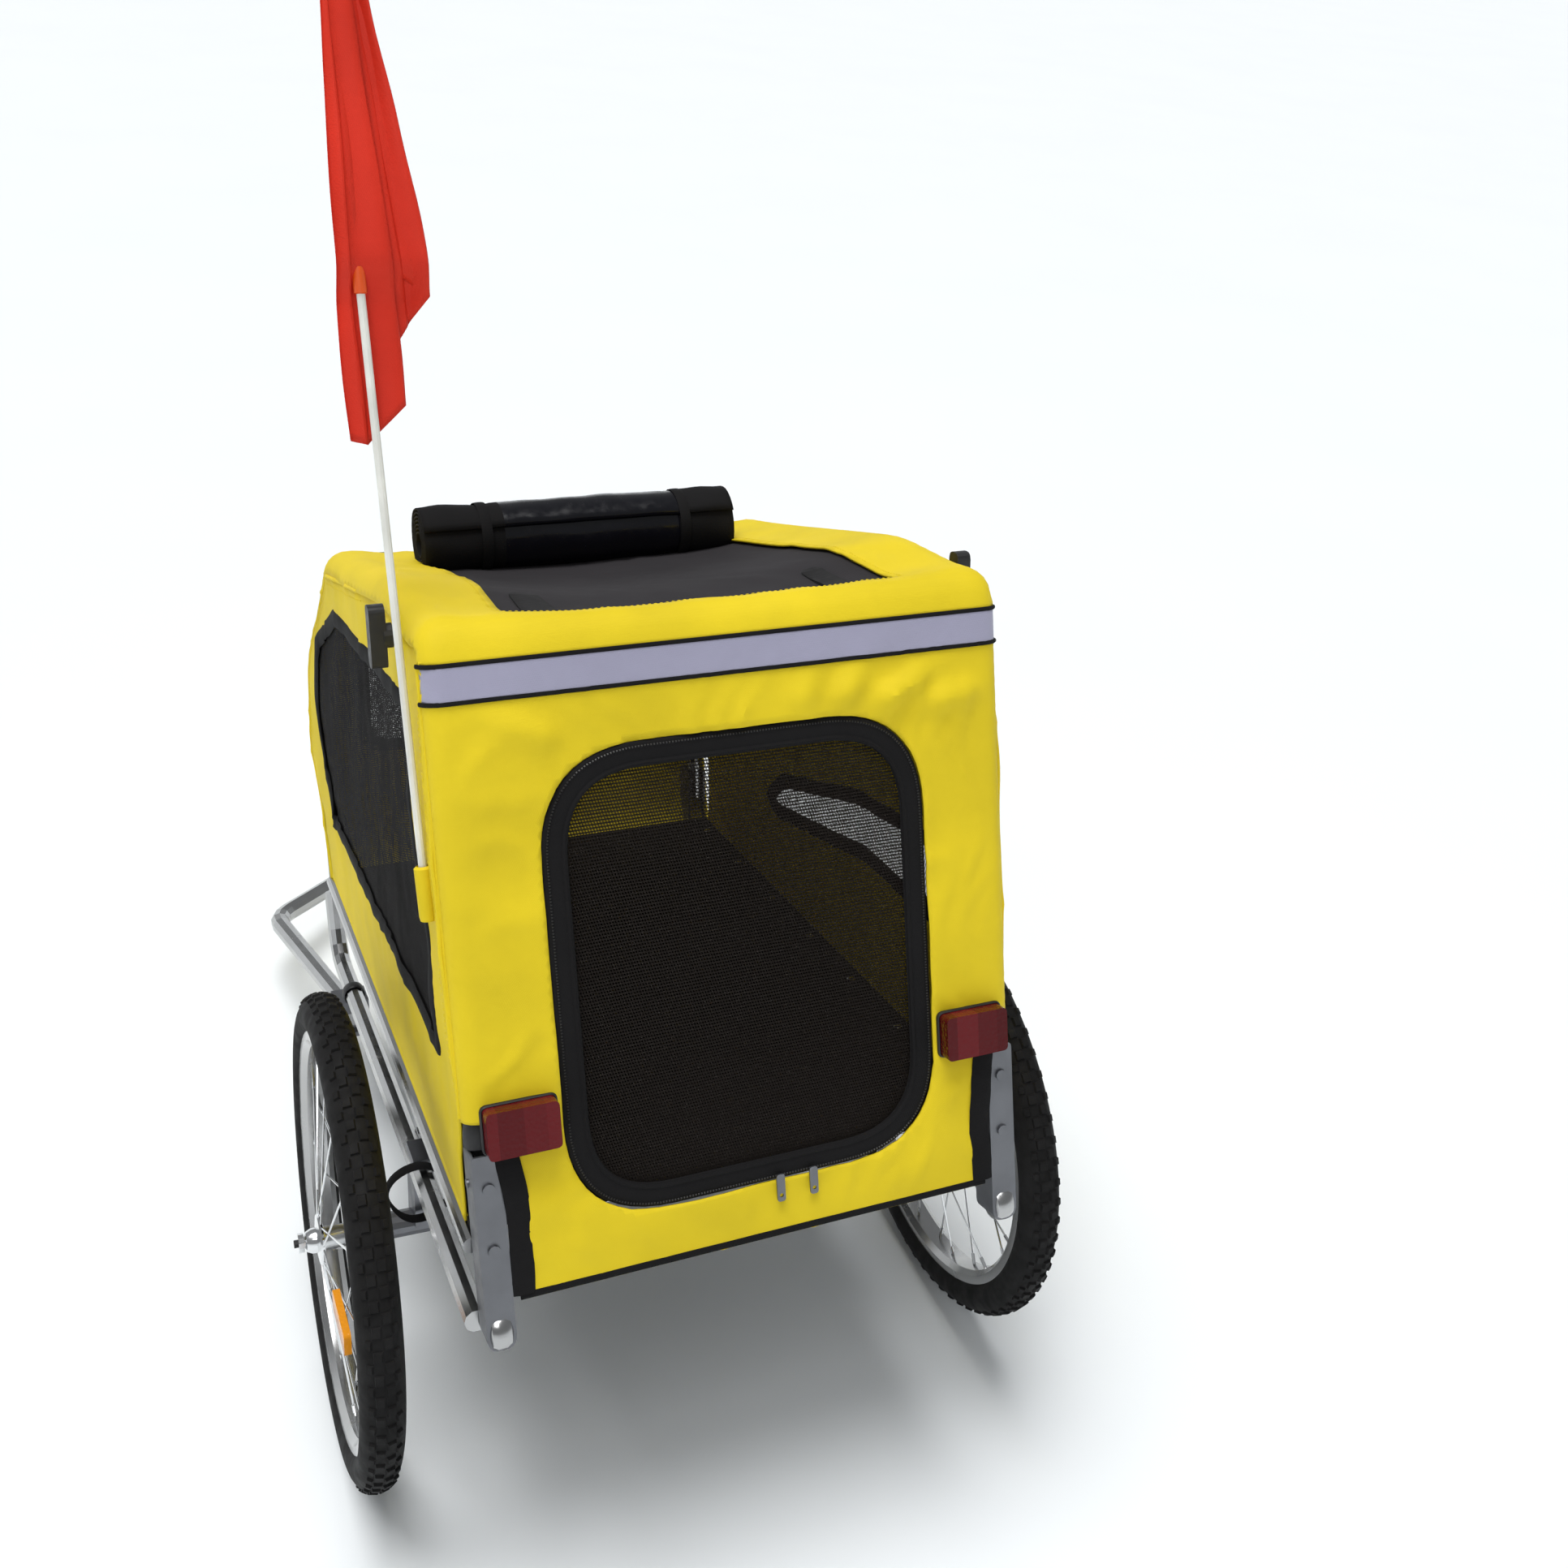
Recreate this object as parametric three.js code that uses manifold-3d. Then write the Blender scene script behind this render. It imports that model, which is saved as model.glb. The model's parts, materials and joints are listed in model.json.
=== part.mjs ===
// Two-wheeled bicycle trailer with a folding fabric cabin, unhitched and resting nose-down on its drawbar.
// Millimetres, +Z up, +Y is the direction of travel and +X the right-hand side.
// The chassis is drawn level, with its origin midway between the wheels, and then pitched as one group.
import * as THREE from 'three';
import { mergeVertices } from 'three/addons/utils/BufferGeometryUtils.js';
import Module from 'manifold-3d';

const wasm = await Module();
wasm.setup();

// Driving dimensions
const WHEEL_RADIUS = 250;
const TYRE_RADIUS = 24;
const HALF_TRACK = 346;
const CAMBER = THREE.MathUtils.degToRad(1.9);
const SPOKES = 20;
const CABIN_HALF_WIDTH = 266;
const CLOTH = 3;
const MESH_CLOTH = 1.2;
const GAP = 0.3;
const ARCH_TUBE = 9.5;
const RAIL_TUBE = 7;
const BASE_TUBE = 8;
const LOWER_TUBE = 11;
const DRAWBAR_TUBE = 13;
const ARCH_X = 251;
const TOP_RAIL_X = 200;
const BASE_RAIL_X = 264;
const LOWER_TUBE_X = 266;
const BASE_RAIL_Z = 144;
const FLOOR_Z = BASE_RAIL_Z + BASE_TUBE + GAP;
const FLOOR_THICKNESS = 6;
const REAR_LEAN = Math.atan(0.16);
const FRONT_PIVOT = { y: 590, z: 200 };
const ARCH_TO_FACE = 18;
const REAR_ARCH_HEIGHT = 464;
const REAR_HEM = { y: -304, z: 103 };
const REAR_PIVOT = {
  y: REAR_HEM.y + (211 - REAR_HEM.z) * Math.tan(REAR_LEAN) + ARCH_TO_FACE / Math.cos(REAR_LEAN),
  z: 211,
};
const REAR_CROSSBAR = {
  y: REAR_PIVOT.y + REAR_ARCH_HEIGHT * Math.sin(REAR_LEAN),
  z: REAR_PIVOT.z + REAR_ARCH_HEIGHT * Math.cos(REAR_LEAN),
};
const FRONT_CROSSBAR = { y: 352, z: 618 };
const ELBOW = { y: 128, z: 645 };
const REAR_RAIL_SLOPE = Math.atan2(ELBOW.z - REAR_CROSSBAR.z, ELBOW.y - REAR_CROSSBAR.y);
const KNOB_ALONG_RAIL = 87;
const DRAWBAR_PIVOT = { x: -266, y: 455, z: 6 };
const COUPLER = { x: -90, y: 1135, z: 6 };
const COUPLER_RADIUS = 16;

// The cabin seen from the side, as [y, z, corner radius], from the rear hem round to the front hem
const CABIN = [
  [REAR_HEM.y, REAR_HEM.z, 0],
  [REAR_HEM.y + (698 - REAR_HEM.z) * Math.tan(REAR_LEAN), 698, 30],
  [-40, 703, 300],
  [372, 638, 90],
  [622, 446, 110],
  [654, 300, 60],
  [590, 120, 0],
];

const YELLOW_CLOTH = [0xf2d90f, 0.85, 0];
const BLACK_CLOTH = [0x1c1a1c, 0.9, 0];
const CHARCOAL_MESH = [0x343236, 0.9, 0];
const BLACK_PLASTIC = [0x151515, 0.5, 0];
const ALUMINIUM = [0xb9bbbd, 0.35, 1];
const STEEL = [0x8a8c90, 0.4, 1];
const CHROME = [0xd8dadc, 0.15, 1];
const RUBBER = [0x141416, 0.9, 0];
const RED_LENS = [0x8c0f1c, 0.2, 0];
const AMBER_LENS = [0xf08a10, 0.25, 0];
const SILVER_TAPE = [0xa9a8bd, 0.4, 0];
const FLAG_CLOTH = [0xf2401a, 0.7, 0];
const WHITE_ROD = [0xeeeee6, 0.4, 0];

const SIDES = [['left', -1], ['right', 1]];

// Solids

function solidOf(geometry) {
  const bare = geometry.clone();
  bare.deleteAttribute('normal');
  bare.deleteAttribute('uv');
  const merged = mergeVertices(bare, 1e-4);
  return new wasm.Manifold(new wasm.Mesh({
    numProp: 3,
    vertProperties: new Float32Array(merged.attributes.position.array),
    triVerts: new Uint32Array(merged.index.array),
  }));
}

function geometryOf(solid) {
  const mesh = solid.getMesh();
  const geometry = new THREE.BufferGeometry();
  geometry.setAttribute('position', new THREE.BufferAttribute(mesh.vertProperties, 3));
  geometry.setIndex(new THREE.BufferAttribute(mesh.triVerts, 1));
  return geometry;
}

function join(...geometries) {
  return geometryOf(geometries.map(solidOf).reduce((whole, piece) => whole.add(piece)));
}

function cut(base, ...tools) {
  return geometryOf(tools.map(solidOf).reduce((whole, tool) => whole.subtract(tool), solidOf(base)));
}

function block([x0, x1], [y0, y1], [z0, z1]) {
  const geometry = new THREE.BoxGeometry(x1 - x0, y1 - y0, z1 - z0);
  return geometry.translate((x0 + x1) / 2, (y0 + y1) / 2, (z0 + z1) / 2);
}

// A round bar along 'x', 'y' or 'z', between two values on that axis; u and v place it on the other two
function rod(axis, radius, from, to, u = 0, v = 0, sides = 16) {
  const geometry = new THREE.CylinderGeometry(radius, radius, Math.abs(to - from), sides);
  const middle = (from + to) / 2;
  if (axis === 'x') {
    return geometry.rotateZ(Math.PI / 2).translate(middle, u, v);
  }
  if (axis === 'y') {
    return geometry.translate(u, middle, v);
  }
  return geometry.rotateX(Math.PI / 2).translate(u, v, middle);
}

// Points along a bent line: each corner [x, y, z] between the ends is rounded to the bend radius
function rounded(corners, bend, steps = 3) {
  const points = corners.map((corner) => new THREE.Vector3(...corner));
  const route = [points[0]];
  for (let i = 1; i < points.length - 1; i += 1) {
    const back = points[i - 1].clone().sub(points[i]).normalize();
    const ahead = points[i + 1].clone().sub(points[i]).normalize();
    const trim = bend / Math.tan(back.angleTo(ahead) / 2);
    const start = points[i].clone().addScaledVector(back, trim);
    const end = points[i].clone().addScaledVector(ahead, trim);
    route.push(...new THREE.QuadraticBezierCurve3(start, points[i], end).getPoints(steps));
  }
  route.push(points.at(-1));
  return route;
}

// A curve through given points, with its rings at the points themselves
class Route extends THREE.Curve {
  constructor(points) {
    super();
    this.points = points;
  }

  getPointAt(share) {
    return this.points[Math.round(share * (this.points.length - 1))].clone();
  }

  getTangentAt(share) {
    const i = Math.round(share * (this.points.length - 1));
    const before = this.points[Math.max(i - 1, 0)];
    const after = this.points[Math.min(i + 1, this.points.length - 1)];
    return after.clone().sub(before).normalize();
  }
}

function tube(corners, radius, bend, sides = 10) {
  const points = rounded(corners, bend);
  const section = Array.from({ length: sides }, (_, i) => {
    const angle = (i / sides) * 2 * Math.PI;
    return new THREE.Vector2(radius * Math.cos(angle), radius * Math.sin(angle));
  });
  return new THREE.ExtrudeGeometry(new THREE.Shape(section), {
    extrudePath: new Route(points),
    steps: points.length - 1,
  });
}

// A closed outline from [u, v, corner radius] entries
function outline(corners) {
  const points = corners.map(([u, v]) => new THREE.Vector2(u, v));
  const shape = new THREE.Shape();
  corners.forEach(([, , radius = 0], i) => {
    const here = points[i];
    const back = points.at(i - 1).clone().sub(here).normalize();
    const ahead = points[(i + 1) % points.length].clone().sub(here).normalize();
    const corner = Math.acos(THREE.MathUtils.clamp(back.dot(ahead), -1, 1));
    const trim = radius / Math.tan(corner / 2);
    const start = here.clone().addScaledVector(back, trim);
    const end = here.clone().addScaledVector(ahead, trim);
    if (i === 0) {
      shape.moveTo(start.x, start.y);
    } else {
      shape.lineTo(start.x, start.y);
    }
    if (trim > 0) {
      shape.quadraticCurveTo(here.x, here.y, end.x, end.y);
    }
  });
  return shape;
}

function roundedRectangle(u0, u1, v0, v1, radius) {
  return outline([[u0, v0, radius], [u1, v0, radius], [u1, v1, radius], [u0, v1, radius]]);
}

// A flat piece: on 'x' the outline is in (y, z), on 'y' in (x, z) and on 'z' in (x, y)
function plate(axis, shape, from, to) {
  const geometry = new THREE.ExtrudeGeometry(shape, { depth: to - from, bevelEnabled: false, curveSegments: 5 });
  if (axis === 'x') {
    const turn = new THREE.Matrix4().makeBasis(
      new THREE.Vector3(0, 1, 0),
      new THREE.Vector3(0, 0, 1),
      new THREE.Vector3(1, 0, 0),
    );
    return geometry.applyMatrix4(turn).translate(from, 0, 0);
  }
  if (axis === 'y') {
    return geometry.rotateX(Math.PI / 2).translate(0, to, 0);
  }
  return geometry.translate(0, 0, from);
}

// The cabin's side profile moved inwards by a distance, with its corner radii reduced to match
function insetProfile(distance) {
  const edges = CABIN.map(([y, z], i) => {
    const [nextY, nextZ] = CABIN[(i + 1) % CABIN.length];
    const length = Math.hypot(nextY - y, nextZ - z);
    const normal = [(nextZ - z) / length, -(nextY - y) / length];
    return { normal, offset: normal[0] * y + normal[1] * z + distance };
  });
  return CABIN.map(([, , radius], i) => {
    const a = edges.at(i - 1);
    const b = edges[i];
    const det = a.normal[0] * b.normal[1] - a.normal[1] * b.normal[0];
    const y = (a.offset * b.normal[1] - b.offset * a.normal[1]) / det;
    const z = (a.normal[0] * b.offset - b.normal[0] * a.offset) / det;
    return [y, z, Math.max(radius - distance, 0)];
  });
}

// A sheet that follows the cabin's top and front, between two depths under its outer surface
function cabinSheet(halfWidth, outer, inner) {
  return cut(
    plate('x', outline(insetProfile(outer)), -halfWidth, halfWidth),
    plate('x', outline(insetProfile(inner)), -halfWidth - 1, halfWidth + 1),
  );
}

// The scene graph

const trailer = new THREE.Group();
const chassis = new THREE.Group();
trailer.add(chassis);

function add(group, name, geometry, [color, roughness, metalness]) {
  const mesh = new THREE.Mesh(geometry, new THREE.MeshStandardMaterial({ color, roughness, metalness }));
  mesh.name = name;
  group.add(mesh);
}

function pivotGroup(parent, name, x, y, z, turn = 0) {
  const group = new THREE.Group();
  group.name = name;
  group.position.set(x, y, z);
  group.rotation.x = turn;
  parent.add(group);
  return group;
}

// Base frame: two rails, two lower tubes that rise at the front, and three cross tubes

function lowerTubeZ(y) {
  return 64 - 0.034 * y;
}

function buildBase() {
  const railEnds = [-264, 574];
  const lowerRear = [-276, lowerTubeZ(-276)];
  const lowerFront = [550, lowerTubeZ(550)];
  const lowerTop = [562, 134];
  for (const [side, s] of SIDES) {
    add(chassis, `base_rail_${side}`, rod('y', BASE_TUBE, ...railEnds, s * BASE_RAIL_X, BASE_RAIL_Z, 12), ALUMINIUM);
    const corners = [lowerRear, lowerFront, lowerTop].map(([y, z]) => [s * LOWER_TUBE_X, y, z]);
    add(chassis, `lower_tube_${side}`, tube(corners, LOWER_TUBE, 45), ALUMINIUM);
  }
  const betweenRails = BASE_RAIL_X - BASE_TUBE - GAP;
  const betweenTubes = LOWER_TUBE_X - LOWER_TUBE - GAP;
  const middleY = 60;
  const crossTube = (reach, y, z) => rod('x', BASE_TUBE, -reach, reach, y, z, 12);
  add(chassis, 'rear_cross_tube', crossTube(betweenRails, -235, BASE_RAIL_Z), ALUMINIUM);
  add(chassis, 'middle_cross_tube', crossTube(betweenTubes, middleY, lowerTubeZ(middleY)), ALUMINIUM);
  add(chassis, 'front_cross_tube', crossTube(betweenRails, 540, BASE_RAIL_Z), ALUMINIUM);
  const floor = block([-262, 262], [-258, 572], [FLOOR_Z, FLOOR_Z + FLOOR_THICKNESS]);
  add(chassis, 'floor_board', floor, BLACK_CLOTH);
}

// A channel bracket open on one side, with its pivot pin riveted across it and two rivets on its back.
// It is drawn about its pivot; facing is +1 where the channel opens towards +Y.
function hingeBracket(s, facing, bottom, top) {
  const wall = 3;
  const inner = ARCH_TUBE + 0.5;
  const back = ARCH_TO_FACE + wall;
  const x = s * ARCH_X;
  const round = inner + wall - 1;
  const web = outline([
    [x - inner - wall, bottom, round],
    [x + inner + wall, bottom, round],
    [x + inner + wall, top, 4],
    [x - inner - wall, top, 4],
  ]);
  const depth = [-back, ARCH_TUBE + 3].map((value) => value * facing).sort((a, b) => a - b);
  const pocket = [-ARCH_TO_FACE, ARCH_TUBE + 4].map((value) => value * facing).sort((a, b) => a - b);
  const shell = cut(
    plate('y', web, ...depth),
    block([x - inner, x + inner], pocket, [bottom + 24, top + 1]),
  );
  const pin = rod('x', 4, x - inner - wall - 2, x + inner + wall + 2, 0, 0, 12);
  const rivets = [0, -57].map((z) => rod('y', 5.5, -facing * (back - 1), -facing * (back + 2.5), x, z, 10));
  return join(shell, pin, ...rivets);
}

// An upright's pivot hole, around the bracket's pin
function pivotHole() {
  return rod('x', 4.4, -300, 300, 0, 0, 12);
}

// Rear arch, drawn in the plane of the rear face, about its pivots

const rear = pivotGroup(chassis, 'rear_plane', 0, REAR_PIVOT.y, REAR_PIVOT.z, -REAR_LEAN);
const rearArch = pivotGroup(rear, 'rear_arch_hinge', 0, 0, 0);
const FACE = -ARCH_TO_FACE;

const onRearFace = (z) => (z - REAR_PIVOT.z) / Math.cos(REAR_LEAN);
const DOOR_BOTTOM = onRearFace(158);
const DOOR_TOP = onRearFace(578);
const DOOR_HALF_WIDTH = 180;
const BINDING = 22;

function doorOutline(inset) {
  const half = DOOR_HALF_WIDTH - inset;
  return roundedRectangle(-half, half, DOOR_BOTTOM + inset, DOOR_TOP - inset, 78 - inset);
}

function buildRearArch() {
  const foot = -14;
  const arch = tube([
    [-ARCH_X, 0, foot],
    [-ARCH_X, 0, REAR_ARCH_HEIGHT],
    [ARCH_X, 0, REAR_ARCH_HEIGHT],
    [ARCH_X, 0, foot],
  ], ARCH_TUBE, 40);
  add(rearArch, 'rear_arch', cut(arch, pivotHole()), ALUMINIUM);
  const hem = onRearFace(REAR_HEM.z);
  const panelTop = REAR_ARCH_HEIGHT - 6;
  const hemHalf = 229;
  const socketTop = onRearFace(269);
  const rightHalf = [
    [hemHalf, hem, 6],
    [hemHalf, onRearFace(222), 18],
    [ARCH_X - 14, socketTop, 5],
    [CABIN_HALF_WIDTH, socketTop, 0],
    [CABIN_HALF_WIDTH, panelTop, 0],
  ];
  const leftHalf = rightHalf.map(([x, z, radius]) => [-x, z, radius]).reverse();
  const panel = outline([...rightHalf, ...leftHalf]);
  const opening = plate('y', doorOutline(-1), FACE - 1, FACE + CLOTH + 1);
  add(rearArch, 'rear_panel', cut(plate('y', panel, FACE, FACE + CLOTH), opening), YELLOW_CLOTH);
  const stripe = block(
    [2 - CABIN_HALF_WIDTH, CABIN_HALF_WIDTH - 2],
    [FACE - 1.3, FACE - GAP],
    [onRearFace(628), onRearFace(659)],
  );
  add(rearArch, 'reflective_stripe', stripe, SILVER_TAPE);
  for (const [side, s] of SIDES) {
    const lens = outline([
      [s * 187, onRearFace(242), 5],
      [s * 251, onRearFace(242), 5],
      [s * 251, onRearFace(284), 5],
      [s * 187, onRearFace(284), 5],
    ]);
    add(rearArch, `reflector_${side}`, plate('y', lens, FACE - 20, FACE - GAP), RED_LENS);
  }
}

function buildRearDoor() {
  const hinge = DOOR_TOP + 1;
  const door = pivotGroup(rearArch, 'rear_door_hinge', 0, FACE, hinge);
  const aboutHinge = (geometry) => geometry.translate(0, -FACE, -hinge);
  const binding = cut(
    plate('y', doorOutline(0), FACE, FACE + CLOTH),
    plate('y', doorOutline(BINDING), FACE - 1, FACE + CLOTH + 1),
  );
  const mesh = plate('y', doorOutline(BINDING / 2), FACE + CLOTH + GAP, FACE + CLOTH + GAP + MESH_CLOTH);
  const sliderZ = [DOOR_BOTTOM + 2, DOOR_BOTTOM + 16];
  const pulls = [['left', 16], ['right', 49]];
  const sliders = pulls.map(([, x]) => block([x - 4.5, x + 4.5], [FACE - 4, FACE + 1], sliderZ));
  add(door, 'rear_door_binding', aboutHinge(join(binding, ...sliders)), BLACK_CLOTH);
  add(door, 'rear_door_mesh', aboutHinge(mesh), CHARCOAL_MESH);
  for (const [side, x] of pulls) {
    const pull = pivotGroup(door, `zip_pull_${side}_hinge`, x, -5.6, DOOR_BOTTOM + 6 - hinge);
    const tab = plate('y', roundedRectangle(-4, 4, -26, 0.7, 3), -1.2, 0.8);
    const eye = rod('y', 2, -3, 3, 0, -20, 10);
    add(pull, `zip_pull_${side}`, cut(tab, eye), STEEL);
  }
}

// Top rails: each half turns on the crossbar of its arch, and the two halves meet at an open elbow

function topRail(s, length, reach) {
  const x = s * TOP_RAIL_X;
  const eye = rod('x', ARCH_TUBE + 4.5, x - 7, x + 7, 0, 0, 14);
  const bar = rod('y', RAIL_TUBE, 6, length, x, 0, 12);
  const solid = reach ? join(eye, bar, reach) : join(eye, bar);
  return cut(solid, rod('x', ARCH_TUBE + 0.6, x - 9, x + 9, 0, 0, 14));
}

function buildRearRails() {
  const length = Math.hypot(ELBOW.z - REAR_CROSSBAR.z, ELBOW.y - REAR_CROSSBAR.y) - 18;
  for (const [side, s] of SIDES) {
    const rail = pivotGroup(rearArch, `rear_rail_${side}_hinge`, 0, 0, REAR_ARCH_HEIGHT, REAR_LEAN + REAR_RAIL_SLOPE);
    const boss = rod('x', 6, s * TOP_RAIL_X, s * (TOP_RAIL_X + 22), KNOB_ALONG_RAIL, 0, 10);
    add(rail, `rear_rail_${side}`, topRail(s, length, boss), ALUMINIUM);
    const knob = pivotGroup(rail, `knob_${side}_turn`, s * (TOP_RAIL_X + 22 + GAP), KNOB_ALONG_RAIL, 0, -REAR_RAIL_SLOPE);
    const stem = rod('x', 5, 0, s * 52, 0, 0, 10);
    const collar = rod('x', 11, s * 48, s * 56, 0, 0, 14);
    const bar = plate('x', roundedRectangle(-9, 9, -28, 28, 8), Math.min(s * 54, s * 68), Math.max(s * 54, s * 68));
    add(knob, `knob_${side}`, join(stem, collar, bar), BLACK_PLASTIC);
  }
}

// Front arch, with the rolled rain cover strapped over its crossbar

const COVER_ROLL = { y: 266, z: 659, radius: 38 };

const frontArch = pivotGroup(chassis, 'front_arch_hinge', 0, FRONT_PIVOT.y, FRONT_PIVOT.z);

function buildFrontArch() {
  const nose = [[634, 297], [599, 434]].map(([y, z]) => [y - FRONT_PIVOT.y, z - FRONT_PIVOT.z]);
  const top = [FRONT_CROSSBAR.y - FRONT_PIVOT.y, FRONT_CROSSBAR.z - FRONT_PIVOT.z];
  const leg = [[0, -14], [0, 32], ...nose, top];
  const leftLeg = leg.map(([y, z]) => [-ARCH_X, y, z]);
  const rightLeg = leg.map(([y, z]) => [ARCH_X, y, z]).reverse();
  const arch = tube([...leftLeg, ...rightLeg], ARCH_TUBE, 38);
  add(frontArch, 'front_arch', cut(arch, pivotHole()), ALUMINIUM);
  const roll = rod('x', COVER_ROLL.radius, -176, 176, COVER_ROLL.y - FRONT_PIVOT.y, COVER_ROLL.z - FRONT_PIVOT.z, 20);
  add(frontArch, 'cover_roll', roll, BLACK_CLOTH);
  const back = Math.atan2(ELBOW.z - FRONT_CROSSBAR.z, ELBOW.y - FRONT_CROSSBAR.y);
  const length = Math.hypot(ELBOW.z - FRONT_CROSSBAR.z, ELBOW.y - FRONT_CROSSBAR.y) - 2;
  for (const [side, s] of SIDES) {
    const rail = pivotGroup(frontArch, `front_rail_${side}_hinge`, 0, ...top, back);
    add(rail, `front_rail_${side}`, topRail(s, length), ALUMINIUM);
  }
}

function buildBrackets() {
  for (const [side, s] of SIDES) {
    add(rear, `rear_bracket_${side}`, hingeBracket(s, 1, onRearFace(62), onRearFace(241)), STEEL);
    const front = hingeBracket(s, -1, 104 - FRONT_PIVOT.z, 227 - FRONT_PIVOT.z);
    add(chassis, `front_bracket_${side}`, front.translate(0, FRONT_PIVOT.y, FRONT_PIVOT.z), STEEL);
  }
}

// Fabric: the sides, roof and front are sewn together and stay on the base when the arches fold

function buildFabric() {
  const sheet = CLOTH + 0.8;
  const inner = insetProfile(sheet);
  const [rearHem, rearTop, ridge, roofFront, brow, nose, frontHem] = inner;
  const hemZ = BASE_RAIL_Z + BASE_TUBE + 1.5;
  const side = outline([
    [-240, hemZ, 0],
    [-256, 272, 8],
    [rearHem[0] + (272 - rearHem[1]) * Math.tan(REAR_LEAN), 272, 0],
    rearTop,
    ridge,
    roofFront,
    brow,
    nose,
    [frontHem[0] + 30, 252, 8],
    [568, 250, 8],
    [560, hemZ, 0],
  ]);
  const windows = {
    left: [
      [-187, 299, 14],
      [460, 270, 30],
      [546, 400, 40],
      [465, 507, 60],
      [300, 577, 80],
      [-120, 604, 30],
      [-150, 470, 20],
      [-187, 415, 20],
    ],
    right: [
      [-185, 300, 20],
      [58, 306, 60],
      [300, 264, 20],
      [346, 272, 10],
      [300, 309, 30],
      [83, 367, 100],
      [-120, 384, 60],
      [-185, 372, 25],
    ],
  };
  // Each mesh is its window pushed outwards from the window's middle, so that the two overlap all round
  const grow = (window, margin) => {
    const [y0, z0] = [0, 1].map((axis) => window.reduce((sum, corner) => sum + corner[axis], 0) / window.length);
    return window.map(([y, z, r]) => {
      const away = Math.hypot(y - y0, z - z0);
      return [y + ((y - y0) * margin) / away, z + ((z - z0) * margin) / away, r];
    });
  };
  const [outer, inside] = [CABIN_HALF_WIDTH, CABIN_HALF_WIDTH - CLOTH];
  const knob = {
    y: REAR_CROSSBAR.y + KNOB_ALONG_RAIL * Math.cos(REAR_RAIL_SLOPE),
    z: REAR_CROSSBAR.z + KNOB_ALONG_RAIL * Math.sin(REAR_RAIL_SLOPE),
  };
  for (const [name, s] of SIDES) {
    const span = [s * outer, s * inside].sort((a, b) => a - b);
    const meshSpan = [s * (inside - GAP), s * (inside - GAP - MESH_CLOTH)].sort((a, b) => a - b);
    const knobHole = rod('x', 9, span[0] - 1, span[1] + 1, knob.y, knob.z, 12);
    const panel = cut(
      plate('x', side, ...span),
      plate('x', outline(windows[name]), span[0] - 1, span[1] + 1),
      knobHole,
    );
    add(chassis, `side_panel_${name}`, panel, YELLOW_CLOTH);
    add(chassis, `side_mesh_${name}`, plate('x', outline(grow(windows[name], 14)), ...meshSpan), CHARCOAL_MESH);
  }
  const wrap = cabinSheet(CABIN_HALF_WIDTH, 0, CLOTH);
  const roofEnd = 400;
  const half = CABIN_HALF_WIDTH + 1;
  const rearPlaneTop = REAR_PIVOT.z + (REAR_ARCH_HEIGHT - 5) * Math.cos(REAR_LEAN);
  const hatchHalf = 180;
  const roof = cut(
    wrap,
    block([-half, half], [-400, roofEnd], [0, 560]),
    block([-half, half], [-400, -180], [0, rearPlaneTop + 4]),
    block([-half, half], [roofEnd, 800], [0, 800]),
    block([-hatchHalf, hatchHalf], [-152, 335], [500, 800]),
  );
  add(chassis, 'roof_panel', roof, YELLOW_CLOTH);
  const hatch = outline([[-180, 668], [332, 594], [332, 592.8], [-180, 666.8]]);
  add(chassis, 'roof_hatch', plate('x', hatch, 8 - hatchHalf, hatchHalf - 8), CHARCOAL_MESH);
  const bracketHalf = 235;
  const frontWindow = 190;
  const front = cut(
    wrap,
    block([-half, half], [-400, roofEnd + GAP], [0, 800]),
    block([-half, half], [-400, 560], [0, 400]),
    block([bracketHalf, half], [400, 800], [0, 250]),
    block([-half, -bracketHalf], [400, 800], [0, 250]),
    block([-half, half], [560, 800], [0, 140]),
    block([-frontWindow, frontWindow], [400, 800], [300, 560]),
  );
  add(chassis, 'front_panel', front, YELLOW_CLOTH);
  const screen = cut(
    cabinSheet(frontWindow + 12, CLOTH + GAP, CLOTH + GAP + MESH_CLOTH),
    block([-half, half], [-400, 440], [0, 800]),
    block([-half, half], [439, 800], [0, 288]),
    block([-half, half], [439, 800], [572, 800]),
  );
  add(chassis, 'front_mesh', screen, CHARCOAL_MESH);
}

// Flag: a glass-fibre rod leaning with the rear face, and a limp pennant hanging from it

function buildFlag() {
  const mast = pivotGroup(chassis, 'flag_mast_foot', -273.5, -210, 448);
  mast.rotation.set(-REAR_LEAN, THREE.MathUtils.degToRad(-0.6), 0);
  mast.updateMatrix();
  const pocket = cut(block([-8, 6.6], [-12, 12], [-8, 42]), rod('z', 4.6, -2, 43, 0, 0, 12));
  add(chassis, 'flag_pocket', pocket.applyMatrix4(mast.matrix), YELLOW_CLOTH);
  const mastLength = 880;
  const radius = 3.5;
  const straight = new THREE.CylinderGeometry(radius, radius, mastLength, 10).rotateX(Math.PI / 2);
  add(mast, 'flag_pole', straight.translate(0, 0, mastLength / 2), WHITE_ROD);
  const pennant = outline([
    [6, 860],
    [44, 700],
    [62, 560],
    [40, 548],
    [36, 420],
    [16, 385],
    [6, 480],
  ]);
  const flag = plate('y', pennant, -9, 9);
  add(mast, 'flag', flag, FLAG_CLOTH);
}

// Wheels: each slides out of its receiver on a push-button axle

// A ring about the X axis from a closed [x, radius] profile
function lathe(profile, segments) {
  const points = profile.map(([x, radius]) => new THREE.Vector2(radius, x));
  if (THREE.ShapeUtils.area(points) < 0) {
    points.reverse();
  }
  const closed = [...points, points[0].clone()];
  return new THREE.LatheGeometry(closed, segments).rotateZ(-Math.PI / 2);
}

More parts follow.
